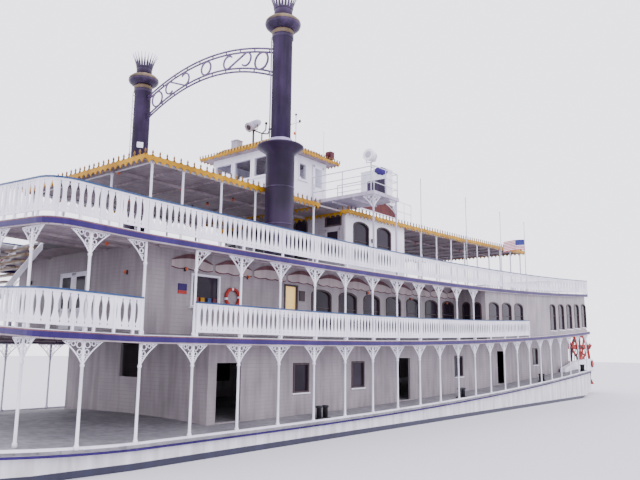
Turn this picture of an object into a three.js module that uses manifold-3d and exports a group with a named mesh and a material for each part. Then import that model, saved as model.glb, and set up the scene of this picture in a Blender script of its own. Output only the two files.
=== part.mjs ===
// A sternwheel paddle boat at half size: flat-bottomed hull, three promenade decks carried on
// slender columns, saloon and texas cabins, pilothouse with bridge wings, two crowned stacks
// joined by a scrolled arch, and a stern paddle wheel with its rudders.
// Sizes are written in metres of the full-size boat. +X is the bow, +Y port, +Z up, and the
// origin is under the middle of the length, on the flat of the bottom.
import * as THREE from 'three';
import { mergeVertices } from 'three/addons/utils/BufferGeometryUtils.js';
import Module from 'manifold-3d';

const wasm = await Module();
wasm.setup();

// Driving dimensions
const MODEL_SCALE = 0.5;
const MM = 1000 * MODEL_SCALE; // model millimetres in each full-size metre
const GAP = 0.0006; // between pieces that touch
const LENGTH = 57.9;
const HALF_BEAM = 6.1;
const BAY = 2.0; // column spacing along the decks
const FIRST_COLUMN = 20.95; // x of column 0, where the deck sides start to round in
const STERN = FIRST_COLUMN - 42.9; // aft end of the upper decks
const BOW_TIP = LENGTH / 2;
const TRANSOM = STERN + 0.2;
const DECK_FRONT = FIRST_COLUMN + 3.03; // front of the upper decks
const CORNER = 0.75; // plan radius of the upper decks' front corners
const column = (n) => FIRST_COLUMN - BAY * n;

// Heights of the deck and roof tops at the side, amidships
const MAIN_DECK = 2.6;
const DECK_2 = 5.65;
const DECK_3 = 8.63;
const ROOF = 11.75;
const BRIDGE = 12.38;
const SLAB = 0.08;
const ROOF_SLAB = 0.1;
const EDGE_BEAM = 0.24;
const EDGE_WIDTH = 0.15;
const EDGE_MIDDLE = EDGE_WIDTH / 2;
const RAIL_HEIGHT = 1.09;
const BAND_3 = DECK_3 - EDGE_BEAM / 2; // middle of deck 3's edge, from which the top works are set out

// Deck form: sheer along the boat, camber across it
const SHEER_START = FIRST_COLUMN - 4.2;
const SHEER_RATE = 0.0009;
const BOW_SHEER_RATE = 0.006;
const CAMBER = [[0, 0.22], [3, 0.167], [HALF_BEAM, 0]]; // half breadth, height

const COLUMN = { radius: 0.05, sides: 6, reach: 0.5, drop: 0.6, plate: 0.04 };
const STACK = { x: FIRST_COLUMN - 7.19, y: 4.756, foot: 0.64, lower: 0.58, upper: 0.41 };
const WHEEL = { radius: 3.4, half: 4.3, shaft: 0.22, z: 4.4, arms: 12, flanges: 3, board: 0.75, beamY: 4.85 };
const WHEEL_X = -LENGTH / 2 + WHEEL.radius;
const RUDDER = { x: STERN + 2.65, y: 2.6, stock: 0.11, bore: 0.14, head: 2.3, top: 1.4, bottom: 0.12,
  ahead: 0.55, behind: 1.25 };

// Materials: colour, roughness, metalness
const WHITE = [0xe9e6ea, 0.5, 0];
const HULL_WHITE = [0xdedde2, 0.5, 0];
const DECK_GREY = [0x8d8a8c, 0.8, 0];
const GOLD = [0xd9ae3a, 0.6, 0];
const STACK_PURPLE = [0x33284a, 0.45, 0];
const RED = [0xa32a2a, 0.5, 0];
const STEEL = [0xb9bcc2, 0.35, 0.6];
const DARK_STEEL = [0x3c3f46, 0.5, 0.5];
const WOOD = [0x8a6238, 0.7, 0];

// Solids: every helper below returns a manifold solid in full-size metres
function solid(positions, triangles) {
  const build = (order) => {
    const turned = [];
    for (let i = 0; i < triangles.length; i += 3) turned.push(...order.map((k) => triangles[i + k]));
    return new wasm.Manifold(new wasm.Mesh({
      numProp: 3, vertProperties: new Float32Array(positions), triVerts: new Uint32Array(turned) }));
  };
  const made = build([0, 1, 2]);
  return made.volume() > 0 ? made : build([0, 2, 1]);
}

function fromGeometry(geometry) {
  const bare = geometry.clone();
  bare.deleteAttribute('normal');
  bare.deleteAttribute('uv');
  const merged = mergeVertices(bare, 1e-6);
  return solid([...merged.attributes.position.array], [...merged.index.array]);
}

const union = (parts) => parts.reduce((a, b) => a.add(b));
const cut = (body, tools) => tools.reduce((a, b) => a.subtract(b), body);

function box(x0, x1, y0, y1, z0, z1) {
  const g = new THREE.BoxGeometry(Math.abs(x1 - x0), Math.abs(y1 - y0), z1 - z0);
  return fromGeometry(g.translate((x0 + x1) / 2, (y0 + y1) / 2, (z0 + z1) / 2));
}

function cylinder(x, y, z0, z1, radius, sides) {
  const g = new THREE.CylinderGeometry(radius, radius, z1 - z0, sides).rotateX(Math.PI / 2);
  return fromGeometry(g.translate(x, y, (z0 + z1) / 2));
}

function lathe(profile, sides) {
  const points = profile.map(([r, z]) => new THREE.Vector2(r, z));
  return fromGeometry(new THREE.LatheGeometry(points, sides).rotateX(Math.PI / 2));
}

// A skin over rings of the same number of points, its two ends closed
function loft(rings) {
  const k = rings[0].length;
  const triangles = [];
  for (let s = 0; s + 1 < rings.length; s++) {
    for (let i = 0; i < k; i++) {
      const a = s * k + i;
      const b = s * k + ((i + 1) % k);
      triangles.push(a, b, b + k, a, b + k, a + k);
    }
  }
  const flat = flatten(rings[0]);
  const last = (rings.length - 1) * k;
  const forward = THREE.ShapeUtils.area(flat) > 0;
  for (const [a, b, c] of THREE.ShapeUtils.triangulateShape(flat, [])) {
    const t = forward ? [a, b, c] : [a, c, b];
    triangles.push(t[0], t[2], t[1], last + t[0], last + t[1], last + t[2]);
  }
  return solid(rings.flat(2), triangles);
}

// An end ring seen along its own normal
function flatten(ring) {
  const points = ring.map((p) => new THREE.Vector3(...p));
  const normal = new THREE.Vector3();
  points.forEach((p, i) => normal.add(new THREE.Vector3().crossVectors(p, points[(i + 1) % points.length])));
  const w = normal.normalize();
  const u = new THREE.Vector3().subVectors(points[1], points[0]).normalize();
  const v = new THREE.Vector3().crossVectors(w, u);
  return points.map((p) => new THREE.Vector2(p.dot(u), p.dot(v)));
}

// An outline of two coordinates, extruded along the third
function prism(outline, axis, from, to) {
  const place = {
    x: ([y, z], x) => [x, y, z],
    y: ([x, z], y) => [x, y, z],
    z: ([x, y], z) => [x, y, z],
  }[axis];
  return loft([from, to].map((at) => outline.map((p) => place(p, at))));
}

const mirrored = (body) => body.mirror([0, 1, 0]);

// Deck form
function camber(y) {
  const a = Math.min(Math.abs(y), HALF_BEAM);
  const [[y0, z0], [y1, z1]] = a < CAMBER[1][0] ? CAMBER.slice(0, 2) : CAMBER.slice(1);
  return z0 + ((z1 - z0) * (a - y0)) / (y1 - y0);
}

const STATIONS = []; // where the sheer line bends, at every second column
for (let n = -4; n <= 20; n += 2) STATIONS.push(column(n));
STATIONS.push(STERN);

function trueSheer(x) {
  const aft = Math.max(0, SHEER_START - x);
  const forward = Math.max(0, x - FIRST_COLUMN);
  return SHEER_RATE * aft ** 2 + BOW_SHEER_RATE * forward ** 2;
}

function sheer(x) {
  const i = Math.max(1, STATIONS.findIndex((s) => s <= x));
  if (x < STERN) return trueSheer(x);
  const [a, b] = [STATIONS[i - 1], STATIONS[i]];
  return trueSheer(a) + ((trueSheer(b) - trueSheer(a)) * (a - x)) / (a - b);
}

const rise = (x, y) => sheer(x) + camber(y);
const roofRise = (x) => sheer(x); // the roofs follow the sheer but are flat across
const stations = (x0, x1) => [x1, ...STATIONS.filter((s) => s < x1 - 0.01 && s > x0 + 0.01), x0];

// Height just over the highest point of a deck under a small foot
function footing(level, x, y, r) {
  const inner = Math.min(Math.max(0, Math.abs(y) - r), HALF_BEAM - EDGE_MIDDLE);
  return level + Math.max(rise(x - r, inner), rise(x, inner), rise(x + r, inner)) + GAP;
}

// Half breadth of the upper decks, set in from their edge, and of the main deck at x
function upperHalf(x, inset) {
  const along = Math.max(0, x - (DECK_FRONT - CORNER));
  return HALF_BEAM - CORNER + Math.sqrt(Math.max(0, (CORNER - inset) ** 2 - along ** 2));
}

function mainHalf(x) {
  const u = Math.min(1, Math.max(0, (x - FIRST_COLUMN) / (BOW_TIP - FIRST_COLUMN)));
  return HALF_BEAM * Math.max(0.1, (1 - u ** 2.4) ** 0.62);
}

const MAIN_BOW_XS = [1, 0.94, 0.8, 0.5, 0.25].map((u) => FIRST_COLUMN + u * (BOW_TIP - FIRST_COLUMN));
const ARC = [0, 0.34, 0.67, 1].map((t) => (t * Math.PI) / 2); // a quarter turn of the deck's corner

// A slab between two levels, half(x) wide each side at the stations given, cambered unless told
function slab(xs, half, bottom, top, form = rise) {
  return loft(xs.map((x) => {
    const w = half(x);
    const ys = form === rise ? [-w, -Math.min(3, w * 0.9), 0, Math.min(3, w * 0.9), w] : [-w, w];
    const face = (level) => ys.map((y) => [x, y, level + form(x, y)]);
    return [...face(bottom), ...face(top).reverse()];
  }));
}

// A strip that follows a plan path at a height above the deck form: a beam, panel or rail
function ribbon(path, half, low, high, form = rise) {
  return loft(path.map(([x, y], i) => {
    const [a, b] = [path[Math.max(0, i - 1)], path[Math.min(path.length - 1, i + 1)]];
    const d = new THREE.Vector2(b[0] - a[0], b[1] - a[1]).normalize();
    const at = (s, h) => [x - d.y * half * s, y + d.x * half * s, h + form(x, y)];
    return [at(-1, low), at(1, low), at(1, high), at(-1, high)];
  }));
}

// Plan paths along the edge of an upper deck, set in from it
const sidePath = (inset, x0, x1) => stations(x0, x1).map((x) => [x, HALF_BEAM - inset]);

function bowPath(inset) {
  const r = CORNER - inset;
  const turn = ARC.map((a) => [DECK_FRONT - CORNER + r * Math.sin(a), HALF_BEAM - CORNER + r * Math.cos(a)]);
  const port = [[FIRST_COLUMN + GAP, HALF_BEAM - inset], ...turn, [DECK_FRONT - inset, 3]];
  return [...port, [DECK_FRONT - inset, 0], ...port.map(([x, y]) => [x, -y]).reverse()];
}

// Hull: x, height of the bottom, height of the chine above it
const HULL_STATIONS = [
  [BOW_TIP - 0.1, 1.75, 0.25], [BOW_TIP - 0.5, 1.4, 0.3], [BOW_TIP - 1.45, 0.95, 0.35],
  [BOW_TIP - 3.2, 0.4, 0.4], [BOW_TIP - 5.2, 0.05, 0.45], [FIRST_COLUMN, 0, 0.45],
  [column(4), 0, 0.45], [column(8), 0, 0.45], [column(12), 0, 0.45], [column(16), 0, 0.45],
  [column(18), 0.6, 0.4], [column(20), 1.5, 0.35], [TRANSOM, 2.05, 0.3],
];
const HULL_INSET = 0.12; // of the hull's side under the main deck's edge
const CHINE_WIDTH = 0.93; // of the flat bottom, as a share of the hull's

const mainDeckSlab = (bottom, top) => (
  slab([...MAIN_BOW_XS, ...stations(TRANSOM, FIRST_COLUMN)], mainHalf, bottom, top));

function hull() {
  const body = loft(HULL_STATIONS.map(([x, bottom, chine]) => {
    const w = mainHalf(x) - HULL_INSET;
    const side = [[w * CHINE_WIDTH, bottom], [w, bottom + chine], [w, MAIN_DECK + sheer(x) + 0.3]];
    return [...side.map(([y, z]) => [x, y, z]), ...side.reverse().map(([y, z]) => [x, -y, z])];
  }));
  const overDeck = mainDeckSlab(MAIN_DECK - SLAB - GAP, MAIN_DECK + 1);
  const bores = [1, -1].map((s) => cylinder(RUDDER.x, s * RUDDER.y, -1, MAIN_DECK, RUDDER.bore, 12));
  return cut(body, [overDeck, ...bores]);
}

const mainDeck = () => mainDeckSlab(MAIN_DECK - SLAB, MAIN_DECK);

function upperDeck(level) {
  const inset = EDGE_WIDTH + GAP;
  const chordDepth = 0.012; // the edge beam's chords cut this far inside its arc
  const turnInset = inset + chordDepth;
  const turn = ARC.map((a) => DECK_FRONT - CORNER + (CORNER - turnInset) * Math.sin(a)).reverse();
  return slab([...turn, ...stations(STERN, FIRST_COLUMN)],
    (x) => upperHalf(x, x > FIRST_COLUMN ? turnInset : inset), level - SLAB, level);
}

// The stair from the fore deck of deck 2 comes up through a well in deck 3
const STAIR = { top: FIRST_COLUMN + 0.45, run: 1.75, steps: 12, half: 0.95, tread: 0.26, stringer: 0.06 };
const WELL = { aft: STAIR.top - 0.1, front: STAIR.top + STAIR.run, half: STAIR.half + 0.15 };
const stairWell = () => box(WELL.aft, WELL.front, -WELL.half, WELL.half, DECK_3 - 1, DECK_3 + 1);

function bowStair() {
  const { top, run, steps, half, tread, stringer } = STAIR;
  const foot = footing(DECK_2, top + run, 0, 0.3);
  const head = DECK_3 + rise(top, 0) - 0.02;
  const pitch = (head - foot) / steps;
  const side = [
    [top + run + 0.3, foot], [top + run, foot], [top, head - 0.12], [top, head], [top + 0.3, head]];
  const boards = Array.from({ length: steps - 1 }, (_, i) => {
    const x = top + run * (1 - (i + 1) / steps) + 0.02;
    const z = foot + pitch * (i + 1);
    return box(x, x + tread, -half + 0.01, half - 0.01, z - 0.05, z);
  });
  return union([...[1, -1].map((s) => prism(side, 'y', s * half, s * (half - stringer))), ...boards]);
}

// Columns with a bracket plate spread under the edge beam they carry
function columnAt([x, y], floor, level, along, reach = [1, 1]) {
  const base = footing(floor, x, y, COLUMN.radius);
  const lowest = Math.min(rise(x - COLUMN.reach, y), rise(x + COLUMN.reach, y), rise(x, y));
  const head = level - EDGE_BEAM + 0.03 + lowest;
  const t = COLUMN.plate / 2;
  const outline = [[-reach[0] * COLUMN.reach, head], [-0.02, head - COLUMN.drop], [0.02, head - COLUMN.drop],
    [reach[1] * COLUMN.reach, head]];
  const [ax, ay] = along;
  const place = (s) => ([r, z]) => [x + ax * r - ay * s, y + ay * r + ax * s, z];
  const plate = loft([-t, t].map((s) => outline.map(place(s))));
  const post = cylinder(x, y, base, head, COLUMN.radius, floor === MAIN_DECK ? 4 : COLUMN.sides);
  return post.add(plate);
}

const COLUMN_INSET = 0.115; // from the deck's edge, inside the railings
const COLUMN_Y = HALF_BEAM - COLUMN_INSET;

// reaches: how far the brackets of the first columns spread aft and forward, 1 on the others
function sideFrame(floor, level, lastColumn, reaches) {
  const parts = [ribbon(sidePath(EDGE_MIDDLE, STERN, FIRST_COLUMN), EDGE_MIDDLE, level - EDGE_BEAM, level)];
  for (let n = 0; n <= lastColumn; n++) {
    const x = column(n) - (n === 0 ? COLUMN.radius + GAP : 0);
    parts.push(columnAt([x, COLUMN_Y], floor, level, [1, 0], reaches[n]));
  }
  return union(parts);
}

const BOW_COLUMNS = [ // place, direction of the edge
  { at: [FIRST_COLUMN + 1.77, COLUMN_Y], along: [1, 0] },
  ...[5.0, 3.1, 1.2].map((y) => ({ at: [DECK_FRONT - COLUMN_INSET, y], along: [0, 1] })),
];

// The half bracket forward of the side's first column hangs from the bow's edge beam
function firstBracket(level) {
  const x = FIRST_COLUMN + GAP;
  const head = level - EDGE_BEAM + 0.03 + rise(x, COLUMN_Y);
  const foot = head - COLUMN.drop;
  const outline = [[x, head], [x, foot], [x + 0.04, foot], [x + COLUMN.reach, head]];
  return prism(outline, 'y', COLUMN_Y - COLUMN.plate / 2, COLUMN_Y + COLUMN.plate / 2);
}

function bowFrame(floor, level, extras) {
  const columns = [...BOW_COLUMNS.map((c) => columnAt(c.at, floor, level, c.along)), ...extras];
  const edge = ribbon(bowPath(EDGE_MIDDLE), EDGE_MIDDLE, level - EDGE_BEAM, level);
  return union([edge, ...columns, ...columns.map(mirrored)]);
}

// Railings: a raised baluster panel standing on feet
const RAIL = { low: 0.13, half: 0.025, foot: 0.025, inset: 0.03 };
const RAIL_Y = HALF_BEAM - RAIL.inset;

function railing(path, level, feet, sink = 0) {
  const foot = ([x, y]) => box(x - RAIL.foot, x + RAIL.foot, y - RAIL.foot, y + RAIL.foot,
    footing(level, x, y, RAIL.foot) - sink, level + RAIL.low + rise(x, y) + 0.1);
  return union([ribbon(path, RAIL.half, level + RAIL.low, level + RAIL_HEIGHT), ...feet.map(foot)]);
}

function sideRailing(level, x0, x1) {
  const path = sidePath(RAIL.inset, x0, x1);
  const ends = [x1 - 0.05, x0 + 0.05].map((x) => [x, RAIL_Y]);
  return railing(path, level, [...ends, ...path.slice(1, -1)]);
}

function bowRailing(level) {
  const path = bowPath(RAIL.inset);
  const ends = [1, -1].map((s) => [FIRST_COLUMN + 0.05, s * RAIL_Y]);
  const feet = [...ends, ...path.filter((p, i) => i % 2 === 1 && i < path.length - 1)];
  const edge = ribbon(bowPath(EDGE_MIDDLE), EDGE_MIDDLE + 0.02, level - EDGE_BEAM, level + GAP);
  return cut(railing(path, level, feet, 0.01), [edge]);
}

function sternRailing(level) {
  const end = RAIL_Y - RAIL.foot - 2 * GAP;
  const x = STERN + 0.1;
  const path = [end, 3, 0, -3, -end].map((y) => [x, y]);
  return railing(path, level, [end - 0.05, 3, 0, -3, 0.05 - end].map((y) => [x, y]));
}

// Thin poles on deck 3's edge that carry the wires of the top deck
const POLES = [16.2, 21.2, 25.9, 29.8].map((d) => FIRST_COLUMN - d);
const POLE = { radius: 0.03, top: BAND_3 + 5.3 };
const poleAt = (x) => (
  cylinder(x, RAIL_Y, footing(DECK_3, x, RAIL_Y, POLE.radius), POLE.top, POLE.radius, 6));

// Walls between two decks, with windows and doorways cut through
// hole: at along the wall, width, low and high above the deck at the side, arch rise
const WALL = 0.12;

function holeOutline({ at, width, low, high, arch = 0.3 }, z) {
  const w = width / 2;
  const points = [[at - w, z + low], [at + w, z + low]];
  if (arch === 0) return [...points, [at + w, z + high], [at - w, z + high]];
  for (let i = 0; i <= 4; i++) {
    const t = (i / 4) * Math.PI;
    points.push([at + w * Math.cos(t), z + high - arch + arch * Math.sin(t)]);
  }
  return points;
}

function sideWall(outer, floor, ceiling, x0, x1, holes, over = rise) {
  const ys = [outer - WALL, outer];
  const wall = loft(stations(x0, x1).map((x) => {
    const low = floor + rise(x, ys[0]) + GAP;
    const high = ceiling + over(x, ys[1]) - GAP;
    return [[x, ys[0], low], [x, ys[1], low], [x, ys[1], high], [x, ys[0], high]];
  }));
  const outline = (h) => holeOutline(h, floor + rise(h.at, outer));
  return cut(wall, holes.map((h) => prism(outline(h), 'y', ys[0] - 0.1, ys[1] + 0.1)));
}

function crossWall(front, y0, y1, floor, ceiling, holes, over = rise) {
  const xs = [front - WALL, front];
  const ys = [y0, ...[-3, 0, 3].filter((v) => v > y0 + 0.01 && v < y1 - 0.01), y1];
  const wall = loft(ys.map((y) => {
    const low = floor + Math.max(...xs.map((x) => rise(x, y))) + GAP;
    const high = ceiling + Math.min(...xs.map((x) => over(x, y))) - GAP;
    return [[xs[0], y, low], [xs[1], y, low], [xs[1], y, high], [xs[0], y, high]];
  }));
  const outline = (h) => holeOutline(h, floor + rise(front, h.at));
  return cut(wall, holes.map((h) => prism(outline(h), 'x', xs[0] - 0.1, xs[1] + 0.1)));
}

// Main deck house: engine and service spaces behind the columns
const MAIN_HOUSE = { front: column(2), back: STERN + 0.6, half: 4.5 };
const CEILING_1 = DECK_2 - SLAB;

function mainHouse() {
  const { front, back, half } = MAIN_HOUSE;
  const shell = cut(slab(stations(back, front), () => half, MAIN_DECK + GAP, CEILING_1 - GAP),
    [slab(stations(back + WALL, front - WALL), () => half - WALL, MAIN_DECK - 1, CEILING_1 + 1)]);
  const opening = (at, width, low, high) => {
    const outline = holeOutline({ at, width, low, high, arch: 0 }, MAIN_DECK + rise(at, half));
    return prism(outline, 'y', -half - 1, half + 1);
  };
  const doorways = [2.5, 8.5, 14.5].map((n) => opening(column(n), 1.2, 0.05, 2.1));
  const windows = [4.5, 6.5, 11.5, 17.5].map((n) => opening(column(n), 0.9, 0.9, 2.0));
  const floor = MAIN_DECK + rise(back, 0);
  const passage = box(back - 1, front + 1, -0.7, 0.7, floor + 0.05, floor + 2.1);
  return cut(shell, [...doorways, ...windows, passage]);
}

// Saloon on deck 2: inside the promenade forward, out to the deck's edge aft
const SALOON = { front: FIRST_COLUMN - 1.4, half: 4.2, shoulder: column(11) - 1.74, aftHalf: 5.92,
  back: STERN + 0.35 };
const CEILING_2 = DECK_3 - SLAB;
const ARCHED = { width: 1.32, low: 0.35, high: 2.06, arch: 0.24 };
const SALOON_WINDOWS = Array.from({ length: 7 }, (_, i) => column(5.33 + 0.98 * i));
const SERVING = { at: column(2.0), width: 1.28, low: 1.0, high: 2.1, arch: 0 };
const LIT_WINDOW = { at: column(4.315), width: 0.75, low: 0.9, high: 2.12, arch: 0 };
const AFT_WINDOWS = [0, 1, 2].map((i) => column(12.45) - 1.89 * i);
const STERN_SIDE_WINDOWS = [0, 1, 2, 3, 4].map((i) => STERN + 0.77 + 1.79 * i);
const SHOULDER_WINDOWS = [4.72, 5.42];
const STERN_WINDOWS = [-4, -2, 0, 2, 4];
const DOORWAY = { width: 0.9, low: 0.06, high: 2.1, arch: 0 };
const windowsAt = (places, shape) => places.map((at) => ({ ...ARCHED, ...shape, at }));

function saloonSide() {
  const [x0, x1] = [SALOON.shoulder + GAP, SALOON.front - WALL - GAP];
  return sideWall(SALOON.half, DECK_2, CEILING_2, x0, x1,
    [SERVING, LIT_WINDOW, ...windowsAt(SALOON_WINDOWS, {})]);
}

function saloonFront() {
  const doorway = { ...DOORWAY, at: 0, width: 2 * DOORWAY.width };
  return crossWall(SALOON.front, -SALOON.half, SALOON.half, DECK_2, CEILING_2, [doorway]);
}

function saloonAftSide() {
  const { half, aftHalf, shoulder, back } = SALOON;
  const wall = sideWall(aftHalf, DECK_2, CEILING_2, back, shoulder, [
    ...windowsAt(AFT_WINDOWS, { high: 2.12 }),
    ...windowsAt(STERN_SIDE_WINDOWS, { width: 1.05, high: 2.15 }),
  ]);
  const returns = windowsAt(SHOULDER_WINDOWS, { width: 0.42 });
  return wall.add(crossWall(shoulder, half - WALL, aftHalf - 0.02, DECK_2, CEILING_2, returns));
}

function saloonStern() {
  const half = SALOON.aftHalf - WALL - GAP;
  const windows = windowsAt(STERN_WINDOWS, { high: 2.15 });
  return crossWall(SALOON.back + WALL, -half, half, DECK_2, CEILING_2, windows);
}

// Texas cabin on deck 3, under the aft roof
const TEXAS = { front: FIRST_COLUMN - 12.5, back: FIRST_COLUMN - 17.9, half: 4.05, doorY: 3.42 };
const CEILING_3 = ROOF - ROOF_SLAB;

function texasSide() {
  const { front, back, half } = TEXAS;
  const windows = windowsAt([front - 1.4, front - 3.42], { width: 1.23, low: 0.55, high: 2.58 });
  return sideWall(half, DECK_3, CEILING_3, back + WALL + GAP, front - WALL - GAP, windows, roofRise);
}

function texasFront() {
  const { front, half, doorY } = TEXAS;
  const doorways = [-doorY, doorY].map((at) => ({ ...DOORWAY, at }));
  const windows = windowsAt([-1.39, 1.39], { width: 0.8, low: 0.75, high: 2.72 });
  const transoms = doorways.map((hole) => ({ ...hole, low: 2.3, high: 2.72 }));
  return crossWall(front, -half, half, DECK_3, CEILING_3, [...windows, ...doorways, ...transoms], roofRise);
}

function texasBack() {
  const { back, half } = TEXAS;
  const doorway = { ...DOORWAY, at: 0, width: 1.4 };
  const windows = windowsAt([-2.6, 2.6], { width: 1.1 });
  return crossWall(back + WALL, -half, half, DECK_3, CEILING_3, [doorway, ...windows], roofRise);
}

// Roofs with a hanging valance, and the rows of posts that carry them
const ROOF_FORWARD = { front: FIRST_COLUMN - 1.15, back: FIRST_COLUMN - 10.6, half: 4.14,
  neck: FIRST_COLUMN - 12.35, neckHalf: 3.95 };
const ROOF_AFT = { front: FIRST_COLUMN - 12.4, back: FIRST_COLUMN - 34.3, half: 4.36 };
const VALANCE = { drop: 0.06, thick: 0.04 };
const POST = { step: 1.785, radius: 0.05, header: 0.12 };

function roofPlate({ front, back, half }) {
  const plate = slab(stations(back, front), () => half, CEILING_3 - VALANCE.drop, ROOF, roofRise);
  const { thick } = VALANCE;
  const inside = stations(back + thick, front - thick);
  return cut(plate, [slab(inside, () => half - thick, CEILING_3 - 1, CEILING_3, roofRise)]);
}

function roofForward() {
  const { neck, neckHalf, back } = ROOF_FORWARD;
  return roofPlate(ROOF_FORWARD).add(
    slab(stations(neck, back + 0.02), () => neckHalf, CEILING_3, ROOF, roofRise));
}

const post = (x, y) => (
  cylinder(x, y, footing(DECK_3, x, y, POST.radius), CEILING_3 + roofRise(x) - 0.06, POST.radius, 6));
function header(y, x0, x1) {
  const path = stations(x0, x1).map((x) => [x, y]);
  return ribbon(path, POST.radius, CEILING_3 - POST.header, CEILING_3 - GAP, roofRise);
}

// Posts down both sides and across the front of the forward roof, under one header
function forwardPosts() {
  const y = ROOF_FORWARD.half - 0.19;
  const xs = [0.45, 1.81, 3.66, 5.5, 7.35, 9.2].map((d) => ROOF_FORWARD.front - d);
  const row = [header(y, xs[xs.length - 1] - 0.1, xs[0] + 0.1), ...xs.map((x) => post(x, y))];
  const beam = box(xs[0] - 0.03, xs[0] + 0.03, -y, y, CEILING_3 - 0.1, CEILING_3 - 0.02);
  const front = [beam, post(xs[0], 1.6), post(xs[0], -1.6)];
  return union([...row, ...row.map(mirrored), ...front]);
}

function aftPosts() {
  const y = ROOF_AFT.half - 0.16;
  const first = TEXAS.back - 1.5;
  const count = Math.floor((first - ROOF_AFT.back - 0.4) / POST.step) + 1;
  const xs = Array.from({ length: count }, (_, i) => first - POST.step * i);
  return union([header(y, xs[count - 1] - 0.1, TEXAS.back - 0.1), ...xs.map((x) => post(x, y))]);
}

// Bridge: a level platform under the pilothouse with a wing out to each side
const PILOT = { front: FIRST_COLUMN - 9.75, back: FIRST_COLUMN - 13.6, half: 2.1, top: 14.62, door: 0.8 };
const WING = { front: FIRST_COLUMN - 12.0, back: FIRST_COLUMN - 14.1, rail: 1.16 };
const PLATFORM = 0.16;
const SEARCHLIGHT = { radius: 0.27, rear: 0.22, depth: 0.5, inboard: 0.3, back: 0.22, height: 1.72 };

function bridge() {
  const wings = box(WING.back, WING.front, -HALF_BEAM, HALF_BEAM, BRIDGE - PLATFORM, BRIDGE);
  const walk = box(PILOT.back - 0.25, PILOT.front + 0.25, -2.4, 2.4, BRIDGE - PLATFORM, BRIDGE);
  const bearers = [[PILOT.back, ROOF_AFT.front - 0.1], [ROOF_FORWARD.neck + 0.1, PILOT.front]].map(
    ([x0, x1]) => slab(stations(x0, x1), () => 1.9, ROOF + GAP, BRIDGE - PLATFORM / 2 - sheer(x0), roofRise));
  const { radius, sides } = COLUMN;
  const wingPost = (x, s) => (
    cylinder(x, s * COLUMN_Y, footing(DECK_3, x, COLUMN_Y, radius), BRIDGE - 0.05, radius, sides));
  const posts = [WING.front - 0.1, WING.back + 0.1].flatMap((x) => [wingPost(x, 1), wingPost(x, -1)]);
  return union([wings, walk, ...bearers, ...posts]);
}

// Pipe rails round a wing, with the searchlight on its post at the outer forward corner
function wingRail() {
  const [y0, y1] = [2.5, HALF_BEAM - 0.06];
  const [x0, x1] = [WING.back + 0.06, WING.front - 0.06];
  const pipe = 0.02; // half of the square pipe
  const parts = [];
  for (const h of [0.4, 0.78, WING.rail]) {
    const z = [BRIDGE + h - pipe, BRIDGE + h + pipe];
    for (const x of [x0, x1]) parts.push(box(x - pipe, x + pipe, y0, y1, ...z));
    parts.push(box(x0, x1, y1 - pipe, y1 + pipe, ...z));
  }
  const upright = 0.025;
  const top = BRIDGE + WING.rail + pipe;
  for (const x of [x0, x1]) {
    for (const y of [y0, y1]) {
      parts.push(box(x - upright, x + upright, y - upright, y + upright, BRIDGE + GAP, top));
    }
  }
  const { radius, rear, depth, inboard, back, height } = SEARCHLIGHT;
  const [x, y] = [x1 - back, y1 - inboard];
  const drum = new THREE.CylinderGeometry(radius, rear, depth, 12).rotateZ(-Math.PI / 2);
  parts.push(fromGeometry(drum.translate(x, y, BRIDGE + height)));
  parts.push(box(x - 0.03, x + 0.03, y - 0.03, y + 0.03, BRIDGE + GAP, BRIDGE + height - 0.1));
  parts.push(box(x - 0.02, x + 0.02, y, y1, BRIDGE + WING.rail - pipe, BRIDGE + WING.rail + pipe));
  return union(parts);
}

function pilothouse() {
  const { front, back, half, top, door } = PILOT;
  const inner = half - WALL;
  const shell = cut(box(back, front, -half, half, BRIDGE + GAP, top),
    [box(back + WALL, front - WALL, -inner, inner, BRIDGE - 1, top + 1)]);
  const sill = [BRIDGE + 0.95, BRIDGE + 1.9];
  const across = [-1.32, 0, 1.32].map((y) => box(back - 1, front + 1, y - 0.56, y + 0.56, ...sill));
  const along = [[front - 0.85, 0.4], [front - 1.97, 0.26]].map(([x, w]) => (
    box(x - w, x + w, -half - 1, half + 1, BRIDGE + 1.05, BRIDGE + 1.85)));
  const doorway = box(back + 0.3, back + 0.3 + door, -half - 1, half + 1, BRIDGE + 0.06, BRIDGE + 1.95);
  return cut(shell, [...across, ...along, doorway]);
}

// Bell-cast hipped roof, with a locker on its starboard slope and a lamp on a post at the ridge
const EAVES = 0.5;
const HIP = [[0, GAP], [0, 0.1], [0.55, 0.32], [0.85, 0.57], [1.3, 0.78], [1.8, 0.96]]; // inset, height
const ROOF_LAMP = { back: 0.65, height: 1.66, radius: 0.22, rear: 0.17, depth: 0.8, tilt: 0.6 };

function pilothouseRoof() {
  const { front, back, half, top } = PILOT;
  const hip = loft(HIP.map(([inset, height]) => {
    const [x0, x1, y] = [back - EAVES + inset, front + EAVES - inset, half + EAVES - inset];
    return [[x1, y], [x0, y], [x0, -y], [x1, -y]].map(([x, v]) => [x, v, top + height]);
  }));
  const locker = box(front - 0.85, front - 0.45, -1.35, -0.95, top + 0.4, top + 1.05);
  const { radius, rear, depth, tilt } = ROOF_LAMP;
  const [x, z] = [front - ROOF_LAMP.back, top + ROOF_LAMP.height];
  const post = box(x - 0.05, x + 0.05, -0.05, 0.05, top + 0.3, z);
  const drum = new THREE.CylinderGeometry(radius, rear, depth, 12).rotateZ(-Math.PI / 2).rotateY(tilt);
  return union([hip, locker, post, fromGeometry(drum.translate(x, 0, z))]);
}

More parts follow.
